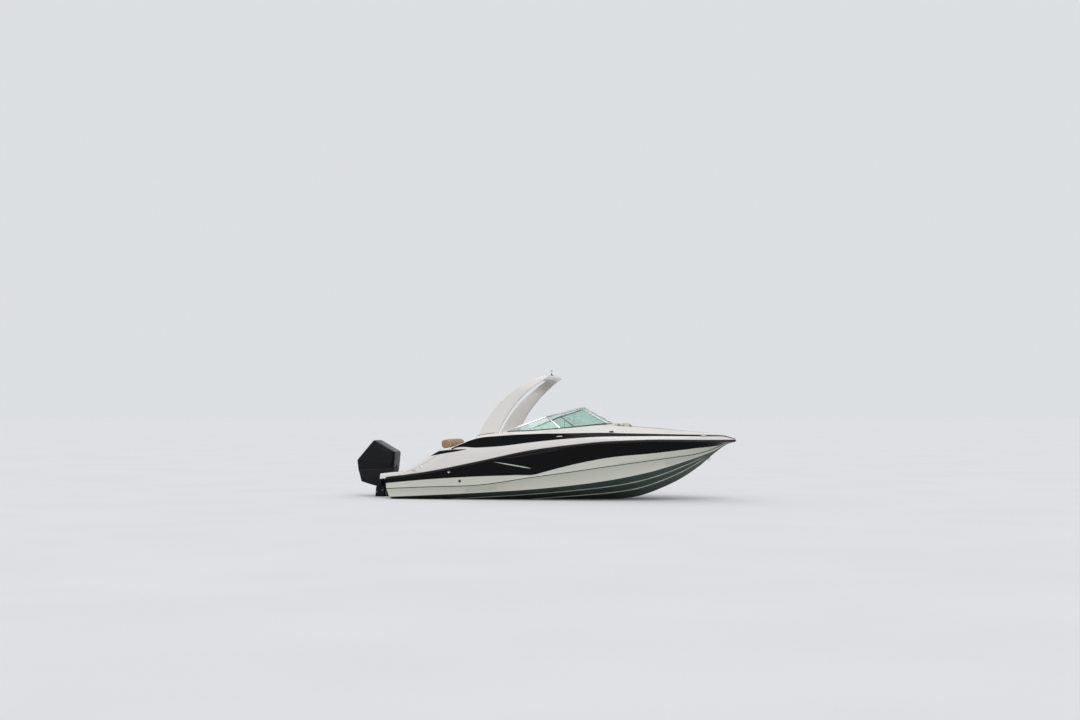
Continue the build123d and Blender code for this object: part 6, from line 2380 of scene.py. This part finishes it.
@dataclass
class Pad:
    """A sewn pad in place of a soft CAD solid: swelled as cloth, then stitched and piped."""

    node: str
    finishes: tuple = (Finishes.VINYL_CREAM, Finishes.VINYL_BROWN)
    rest: tuple = ((0, 0, -1),)
    voxel: float = 0.018
    edge: float = 0.032
    inset: float = 0.008
    cap: float = 0.013
    pressure: float = 12.0
    channels: tuple = ()
    cuts: tuple = ()
    pipes: tuple = ()
    brown: Optional[Callable[[Vector, Vector], bool]] = None
    fill: float = 0.8
    depth: float = 0.007
    width: float = 0.016
    frames: int = 20
    mass: float = 0.15
    stretch: float = 12.0
    bend: float = 0.4
    stitch: float = 0.014
    stitch_half: float = 0.004
    stitch_apart: float = 0.0075
    piping: float = 0.0048

    def build(self) -> bpy.types.Object:
        """Builds the pad.

        Returns:
            The pad's piece. Its seams and piping are pieces of their own.
        """
        piece = self.form()
        self.swell(piece)
        smooth = piece.modifiers.new("ease", "SMOOTH")
        smooth.factor, smooth.iterations = 0.5, 4
        fine = piece.modifiers.new("fine", "SUBSURF")
        fine.levels = fine.render_levels = 1
        settle(piece)
        seams = [line for plane in self.channels for line in cut(piece, *plane)]
        self.sink(piece)
        pipes = [line for plane in self.pipes for line in cut(piece, *plane)]
        for plane in self.cuts:
            cut(piece, *plane)
        if self.brown:
            marks = [int(self.brown(face.center, face.normal)) for face in piece.data.polygons]
            piece.data.polygons.foreach_set("material_index", marks)
        shade(piece, 60)
        stand_in(piece, self.node)
        self.trim(piece, seams, pipes)
        return piece

    def form(self) -> bpy.types.Object:
        """Makes the pad's first shape: the solid with full edges, drawn in, in even quads."""
        piece = copy_of(self.node, self.node + "_pad", self.finishes, 0.0001, 0.02, set())
        bevel = piece.modifiers.new("round", "BEVEL")
        bevel.width, bevel.segments = self.edge, 4
        bevel.limit_method, bevel.angle_limit = "ANGLE", math.radians(30)
        grid = piece.modifiers.new("grid", "REMESH")
        grid.mode, grid.voxel_size, grid.use_smooth_shade = "VOXEL", self.voxel, True
        settle(piece)
        corners = piece.data.vertices
        held = [any(v.normal.dot(Vector(d)) > 0.7 for d in self.rest) for v in corners]
        moves = [v.co - v.normal * (0.0015 if stay else self.inset) for v, stay in zip(corners, held)]
        for vertex, place in zip(corners, moves):
            vertex.co = place
        group = piece.vertex_groups.new(name="held")
        group.add([i for i, stay in enumerate(held) if stay], 1.0, "REPLACE")
        return piece

    def swell(self, piece: bpy.types.Object) -> None:
        """Fills the pad by a short cloth simulation, and caps how far a point may go."""
        start = np.array([list(v.co) for v in piece.data.vertices])
        cloth = piece.modifiers.new("fill", "CLOTH")
        ways = cloth.settings
        ways.quality = 4
        ways.mass = self.mass
        ways.tension_stiffness = ways.compression_stiffness = self.stretch
        ways.bending_stiffness = self.bend
        ways.use_pressure = True
        ways.uniform_pressure_force = self.pressure
        ways.vertex_group_mass = "held"
        ways.effector_weights.gravity = 0.0
        cloth.collision_settings.use_collision = False
        cloth.point_cache.frame_start, cloth.point_cache.frame_end = 1, self.frames
        scene = bpy.context.scene
        for number in range(1, self.frames + 1):
            scene.frame_set(number)
        graph = bpy.context.evaluated_depsgraph_get()
        filled = piece.evaluated_get(graph).to_mesh()
        end = np.array([list(v.co) for v in filled.vertices])
        piece.evaluated_get(graph).to_mesh_clear()
        piece.modifiers.remove(cloth)
        scene.frame_set(1)
        move = end - start
        reach = np.linalg.norm(move, axis=1)
        LOG.info("%s swells %.4f m at most, %.4f m on average", piece.name, reach.max(), reach.mean())
        share = np.minimum(1.0, self.cap / np.maximum(reach, 1e-9))
        for vertex, place in zip(piece.data.vertices, start + move * share[:, None]):
            vertex.co = place

    def sink(self, piece: bpy.types.Object) -> None:
        """Presses the sewn channels into the pad."""
        mesh = piece.data
        planes = [(Vector(p), Vector(n).normalized()) for p, n in self.channels]
        moves = []
        for vertex in mesh.vertices:
            if any(vertex.normal.dot(Vector(d)) > 0.6 for d in self.rest):
                continue
            near = min((abs((vertex.co - p).dot(n)) for p, n in planes), default=1.0)
            if near < self.width:
                fall = math.cos(math.pi / 2 * near / self.width) ** 2
                moves.append((vertex.index, vertex.co - vertex.normal * self.depth * fall))
        for index, place in moves:
            mesh.vertices[index].co = place

    def shown(self, tree: BVHTree, spot: Vector) -> tuple[Vector, Vector, bool]:
        """Nearest place on the pad, its normal, and whether that side is in view."""
        place, normal, _, _ = tree.find_nearest(spot)
        return place, normal, not any(normal.dot(Vector(d)) > 0.6 for d in self.rest)

    def trim(self, piece: bpy.types.Object, seams: list[list[Vector]], pipes: list[list[Vector]]) -> None:
        """Adds the stitches beside the channels and the piping round the pad.

        Args:
            piece: The pad.
            seams: The channels' lines.
            pipes: The lines that get piping.
        """
        tree = tree_of(piece.name)
        points: list[Vector] = []
        faces: list[tuple[int, ...]] = []
        for line in seams:
            path = even(line, self.stitch, 2)
            for i in range(len(path) - 1):
                along = (path[i + 1] - path[i]).normalized()
                _, normal, seen = self.shown(tree, path[i])
                if not seen:
                    continue
                side = along.cross(normal).normalized()
                for hand in (-1, 1):
                    half = along * self.stitch_half
                    middle, up, _ = self.shown(tree, path[i] + side * self.stitch_apart * hand + half)
                    base = len(points)
                    for end in (middle - half, middle + half):
                        for a, b in ((-1, -0.4), (0, 1), (1, -0.4)):
                            points.append(end + side * 0.0010 * a + up * 0.0009 * b)
                    faces += [(base, base + 3, base + 4, base + 1), (base + 1, base + 4, base + 5, base + 2),
                              (base, base + 1, base + 2), (base + 3, base + 5, base + 4)]
        body, slot = body_of(self.node), slot_of(self.node)
        if faces:
            new_piece(self.node + "_stitches", points, faces, [Finishes.THREAD], body)
        cords = []
        for number, line in enumerate(pipes):
            if sum((b - a).length for a, b in zip(line, line[1:])) < 0.3:
                continue
            path = even(line, 0.022, 4)
            spots = []
            for spot in path:
                place, normal, _ = self.shown(tree, spot)
                spots.append(place + normal * 0.001)
            name = f"{self.node}_piping_{number}"
            cords.append(tube(name, spots, self.piping, Finishes.PIPING, body, closed=True, sides=6))
        if cords:
            joined(self.node + "_piping", cords)


@dataclass
class Seats:
    """The two swivelling bucket seats on their pedestals."""

    x: float = -0.420
    y: float = 0.480
    width: float = 0.500
    sole_z: float = 0.330
    front: float = 0.250
    panel_half: float = 0.150
    panel_edge: tuple[float, float] = (0.035, 0.045)
    top_z: float = 1.330
    bolt_ring: float = 0.122
    rail_half: float = 0.135
    rail_z: float = 0.7085
    lever: tuple = ((0.14, 0.150, 0.712), (0.15, 0.215, 0.711), (0.16, 0.252, 0.702))

    def build(self) -> None:
        """Builds shells, pedestals and cushions."""
        for name, y in (("helm_seat", -self.y), ("passenger_seat", self.y)):
            self.cushion(name, y)
            self.hardware(name, y)

    def cushion(self, name: str, y: float) -> None:
        """Builds one seat's cushion: brown middle panels between cream side rolls."""
        half, front = self.panel_half, self.x + self.front
        fore, head = front - self.panel_edge[0], self.top_z - self.panel_edge[1]
        sides = (plane("y", y - half), plane("y", y + half))
        Pad(
            name + "_cushion", rest=((0, 0, -1), (-1, 0, 0.05)), edge=0.038, voxel=0.017,
            channels=(*sides, plane("x", front - 0.125), ((0, 0, 1.155), (0.1, 0, 1))),
            cuts=(*sides, plane("x", fore), plane("z", head)),
            pipes=tuple(plane("y", y + s * (self.width / 2 - 0.022)) for s in (-1, 1)),
            brown=lambda c, n: abs(c.y - y) < half and c.x < fore and c.z < head
            and n.x + n.z > 0.3 and n.z > -0.5,
        ).build()

    def hardware(self, name: str, y: float) -> None:
        """Builds one seat's shell, pedestal, bolts and levers."""
        recast(name + "_shell", Finishes.LINER, 0.010)
        recast(name + "_pedestal", Finishes.ALLOY, 0.003, 2)
        bolts = []
        for k in range(6):
            turn = math.radians(60 * k + 30)
            head = [(0, 0.005), (0.005, 0.005), (0.009, 0.003), (0.0095, -0.001)]
            foot = (
                self.x + self.bolt_ring * math.cos(turn), y + self.bolt_ring * math.sin(turn),
                self.sole_z + 0.012,
            )
            bolts.append(turned(f"{name}_bolt_{k}", head, foot, (0, 0, 1), [Finishes.STEEL], sides=14))
        joined(name + "_bolts", bolts)
        turned(
            name + "_collar",
            [(0.0555, 0.0), (0.068, 0.0), (0.070, 0.004), (0.070, 0.034), (0.066, 0.040), (0.0555, 0.040)],
            (self.x, y, self.sole_z + 0.20), (0, 0, 1), [Finishes.RUBBER],
        )
        lever = [(self.x + u, y + v, z) for u, v, z in self.lever]
        bar = tube(name + "_lever", lever, 0.0055, Finishes.STEEL, name)
        knob = turned(
            name + "_lever_knob", [(0, 0.034), (0.008, 0.032), (0.011, 0.024), (0.0095, 0.004), (0.006, 0.0)],
            (self.x + 0.158, y + 0.244, 0.7045), (0.1, 0.8, -0.25), [Finishes.RUBBER], name, sides=16,
        )
        joined(name + "_lever", [bar, knob])
        for side, word in reversed(SIDES):
            middle = Vector((self.x, y + side * self.rail_half, self.rail_z))
            corners = square(middle, Vector((0.19, 0, 0)), Vector((0, 0.014, 0)))
            rounded(f"{name}_rail_{word}", corners, 0.0115, (0, 0, 1), Finishes.ALLOY, 0.002, name)


@dataclass
class Lounge:
    """Aft bench and stern roll, and the bow's cushions and backrests."""

    bench_starboard: float = -0.790
    bench_port: float = 0.480
    bench_brown: tuple[float, float] = (-2.100, -1.800)
    back_brown: tuple[float, float] = (0.800, 0.950)
    bow_channels: tuple[float, ...] = (2.020, 2.290, 2.560)
    bow_inner: float = 0.390
    bow_outer: tuple[float, float] = (2.000, 0.660)
    bow_slant: float = 0.120
    bow_pipes: tuple = (plane("z", 0.873), plane("z", 0.808))
    panel_y: tuple[float, float] = (0.385, 0.650)
    panel_z: tuple[float, float] = (0.960, 1.385)
    patch_at: tuple[float, float] = (1.605, 1.330)
    patch_half: tuple[float, float] = (0.065, 0.075)

    def build(self) -> None:
        """Builds the aft and the bow seating."""
        self.aft()
        self.bow()

    def aft(self) -> None:
        """Builds bench, bench cushion, backrest and the tan stern roll."""
        recast("aft_bench", Finishes.LINER, 0.012)
        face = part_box("aft_bench")[1].x
        for word, y in (("port", 0.160), ("starboard", -0.470)):
            middle, right, up = Vector((face - 0.0005, y, 0.455)), Vector((0, 1, 0)), Vector((0, 0, 1))
            parts = []
            for label, width, height, radius, thickness, finish, edge in (
                ("bench_door", 0.500, 0.170, 0.030, 0.006, Finishes.LINER, 0.002),
                # The black plate behind the door shows as a dark rim: painted shade of the door's gap.
                ("bench_door_gap_shade", 0.514, 0.184, 0.034, 0.0022, Finishes.RUBBER, 0.0008),
            ):
                shape = round_rect(width, height, radius)
                parts.append(
                    plate_on(f"{label}_{word}", middle, right, up, shape, thickness, finish, edge)
                )
            latch = turned(
                f"bench_latch_{word}",
                [(0, 0.004), (0.012, 0.004), (0.014, 0.0045), (0.022, 0.0035), (0.024, 0.0)],
                middle + Vector((0.0055, 0, 0.055)), (1, 0, 0), [Finishes.STEEL], sides=22,
            )
            joined(f"bench_door_{word}", [*parts, latch])
        low, high = self.bench_starboard, self.bench_port
        thirds = [low + (high - low) * k / 3 for k in (1, 2)]
        sixths = [low + (high - low) * k / 6 for k in (1, 3, 5)]
        across = tuple(plane("y", y) for y in thirds)
        aft, fore = self.bench_brown
        foot, head = self.back_brown
        Pad(
            "aft_bench_cushion", channels=across + tuple(plane("y", y) for y in sixths),
            cuts=(plane("x", fore), plane("x", aft)), pipes=(plane("z", 0.668), plane("z", 0.602)),
            brown=lambda c, n: aft < c.x < fore and n.z > 0.4,
        ).build()
        Pad(
            "aft_backrest", rest=((0, 0, -1), (-1, 0, 0)), edge=0.040, channels=across,
            cuts=(plane("z", foot), plane("z", head)), pipes=(plane("x", -2.200),),
            brown=lambda c, n: foot < c.z < head and n.x > 0.5,
        ).build()
        Pad(
            "stern_bolster", finishes=(Finishes.VINYL_TAN,), edge=0.030, voxel=0.014, channels=across,
            pipes=(plane("y", low + 0.028), plane("y", high - 0.028), ((-2.325, 0, 0), (1, 0, 0.12))),
        ).build()

    def bow(self) -> None:
        """Builds the bow's three cushions and two backrests."""
        for side, word in SIDES:
            self.bow_cushion(side, word)
            self.bow_backrest(side, word)
        Pad("bow_cushion_front", channels=(plane("y", 0.0),), pipes=self.bow_pipes).build()

    def bow_cushion(self, side: int, word: str) -> None:
        """Builds one side's cushion, brown between its inner roll and a slanting line."""
        inner, slant, (x, y) = self.bow_inner, self.bow_slant, self.bow_outer
        Pad(
            f"bow_cushion_{word}", channels=tuple(plane("x", place) for place in self.bow_channels),
            cuts=(plane("y", side * inner), ((x, side * y, 0), (slant, side, 0))), pipes=self.bow_pipes,
            brown=lambda c, n: n.z > 0.5 and side * c.y > inner
            and (c.x - x) * slant + (side * c.y - y) < 0,
        ).build()

    def bow_backrest(self, side: int, word: str) -> None:
        """Builds one side's backrest, with a brown panel and a piped patch on its inner end."""
        (inner, outer), (foot, head) = self.panel_y, self.panel_z
        (x, z), (long, tall) = self.patch_at, self.patch_half
        Pad(
            f"bow_backrest_{word}", rest=((0, 0, -1), (-1, 0, 0)), edge=0.045, voxel=0.016,
            channels=(plane("y", side * 0.517),),
            cuts=(plane("z", foot), plane("z", head), plane("y", side * inner), plane("y", side * outer),
                  plane("x", 1.535), ((1.675, 0, 0), (1, 0, 0.1))),
            pipes=(plane("y", side * 0.360), plane("y", side * 0.676)),
            brown=lambda c, n: (
                (foot < c.z < head and inner < side * c.y < outer and n.x > 0.35)
                or (n.y * side > 0.75 and ((c.x - x) / long) ** 2 + ((c.z - z) / tall) ** 2 < 1.0)
            ),
        ).build()
        tree, ring = tree_of(f"bow_backrest_{word}_pad"), []
        for k in range(28):
            turn = 2 * math.pi * k / 28
            spot = Vector((
                x + (long + 0.001) * math.cos(turn), side * 0.75, z + (tall + 0.001) * math.sin(turn)
            ))
            place, normal, _, _ = tree.find_nearest(spot)
            ring.append(place + normal * 0.0015)
        tube(
            f"bow_backrest_patch_{word}", ring, 0.0058, Finishes.PIPING, "boat",
            closed=True, sides=6,
        )


# Studio


@dataclass
class Studio:
    """Pale floor at the running waterline, soft light and the photograph's camera."""

    bow_up: float = 2.5
    water_z: float = -0.223
    water_fall: float = -0.0437
    camera_at: Point = (7.155, -35.20, 1.343)
    yaw: float = 12.0
    pitch: float = 2.04
    lens: float = 52.33

    def level(self, v: Vector) -> Vector:
        """Turns a direction of the level world into the bow-down frame of the part."""
        turn = math.radians(self.bow_up)
        c, s = math.cos(turn), math.sin(turn)
        return Vector((v.x * c + v.z * s, v.y, -v.x * s + v.z * c))

    def build(self) -> None:
        """Builds floor, world, lamps and camera."""
        self.floor()
        self.world()
        self.lamps()
        self.camera()

    def floor(self) -> None:
        """Lays the floor where the water's surface is when the boat runs."""
        size = 1500.0
        points = []
        for x, y in ((-size, -size), (size, -size), (size, size), (-size, size)):
            points.append((x, y, self.water_z + self.water_fall * x))
        mesh = bpy.data.meshes.new("floor")
        mesh.from_pydata(points, [], [(0, 1, 2, 3)])
        made = bpy.data.materials.new("floor_pale")
        made.use_nodes = True
        wires = Wiring(made.node_tree)
        shader = made.node_tree.nodes["Principled BSDF"]
        shader.inputs["Roughness"].default_value = 0.9
        shader.inputs["Specular IOR Level"].default_value = 0.0
        noise = wires.place("TexNoise")
        noise.inputs["Scale"].default_value = 0.35
        wires.join(wires.place("TexCoord").outputs["Object"], noise.inputs["Vector"])
        tone = wires.ramp(noise.outputs[0], 0.3, 0.7)
        path = wires.place("LightPath")
        seen = wires.math("MAXIMUM", path.outputs["Is Camera Ray"], path.outputs["Is Transmission Ray"])
        seen = wires.math("MAXIMUM", seen, wires.math("MULTIPLY", path.outputs["Is Glossy Ray"], 0.5))
        pale = wires.blend(tone, (0.83, 0.84, 0.85, 1), (0.85, 0.86, 0.87, 1))
        wires.join(wires.blend(seen, (0.50, 0.52, 0.52, 1), pale), shader.inputs["Base Color"])
        mesh.materials.append(made)
        piece = bpy.data.objects.new("floor", mesh)
        bpy.context.scene.collection.objects.link(piece)

    def world(self) -> None:
        """Lights the scene from all round, a little stronger from above."""
        world = bpy.data.worlds.new("studio")
        bpy.context.scene.world = world
        world.use_nodes = True
        wires = Wiring(world.node_tree)
        back = world.node_tree.nodes["Background"]
        place = wires.place("SeparateXYZ")
        wires.join(wires.place("TexCoord").outputs["Generated"], place.inputs[0])
        height = wires.ramp(place.outputs[2], -0.05, 0.80)
        sky = wires.blend(height, (0.62, 0.63, 0.65, 1), (0.52, 0.53, 0.55, 1))
        path = wires.place("LightPath")
        backdrop = wires.math("MAXIMUM", path.outputs["Is Camera Ray"], path.outputs["Is Transmission Ray"])
        seen = wires.math("MAXIMUM", backdrop, wires.math("MULTIPLY", path.outputs["Is Glossy Ray"], 0.45))
        wires.join(wires.blend(seen, sky, (0.72, 0.74, 0.765, 1)), back.inputs["Color"])
        back.inputs["Strength"].default_value = 1.0

    def lamps(self) -> None:
        """Hangs one broad, soft sun ahead of the boat's starboard side and a weak one behind."""
        for label, energy, spread, toward in (
            ("key", 1.15, 50.0, (-0.35, 0.80, -0.85)),
            ("fill", 0.35, 60.0, (0.60, -0.50, -0.70)),
        ):
            lamp = bpy.data.lights.new(label, "SUN")
            lamp.energy = energy
            lamp.angle = math.radians(spread)
            body = bpy.data.objects.new(label, lamp)
            bpy.context.scene.collection.objects.link(body)
            body.location = (0.0, 0.0, 12.0)
            body.rotation_mode = "QUATERNION"
            body.rotation_quaternion = Vector(toward).to_track_quat("-Z", "Y")

    def camera(self) -> None:
        """Stands the camera where the photograph was taken."""
        yaw, pitch = math.radians(self.yaw), math.radians(self.pitch)
        ahead = Vector((-math.sin(yaw), math.cos(yaw), 0))
        right = self.level(Vector((math.cos(yaw), math.sin(yaw), 0)))
        look = self.level(ahead * math.cos(pitch) + Vector((0, 0, math.sin(pitch))))
        up = self.level(ahead * -math.sin(pitch) + Vector((0, 0, math.cos(pitch))))
        eye = bpy.data.cameras.new("camera")
        eye.lens = self.lens
        eye.sensor_width = 36.0
        eye.clip_end = 3000.0
        body = bpy.data.objects.new("camera", eye)
        bpy.context.scene.collection.objects.link(body)
        turn = Matrix((right, up, -look)).transposed().to_4x4()
        body.matrix_world = Matrix.Translation(Vector(self.camera_at)) @ turn
        bpy.context.scene.camera = body


def main() -> None:
    """Builds every sub-assembly, then the studio."""
    logging.basicConfig(level=logging.INFO, format="%(name)s %(message)s")
    bpy.context.scene.view_settings.view_transform = "Standard"
    Studio().build()
    for assembly in ASSEMBLIES:
        LOG.info("building %s", assembly.__name__)
        assembly().build()


ASSEMBLIES = (HullShell, DeckShell, Arch, Windshield, Outboard, Helm, Cockpit, Seats, Lounge)


if __name__ == "__main__":
    main()
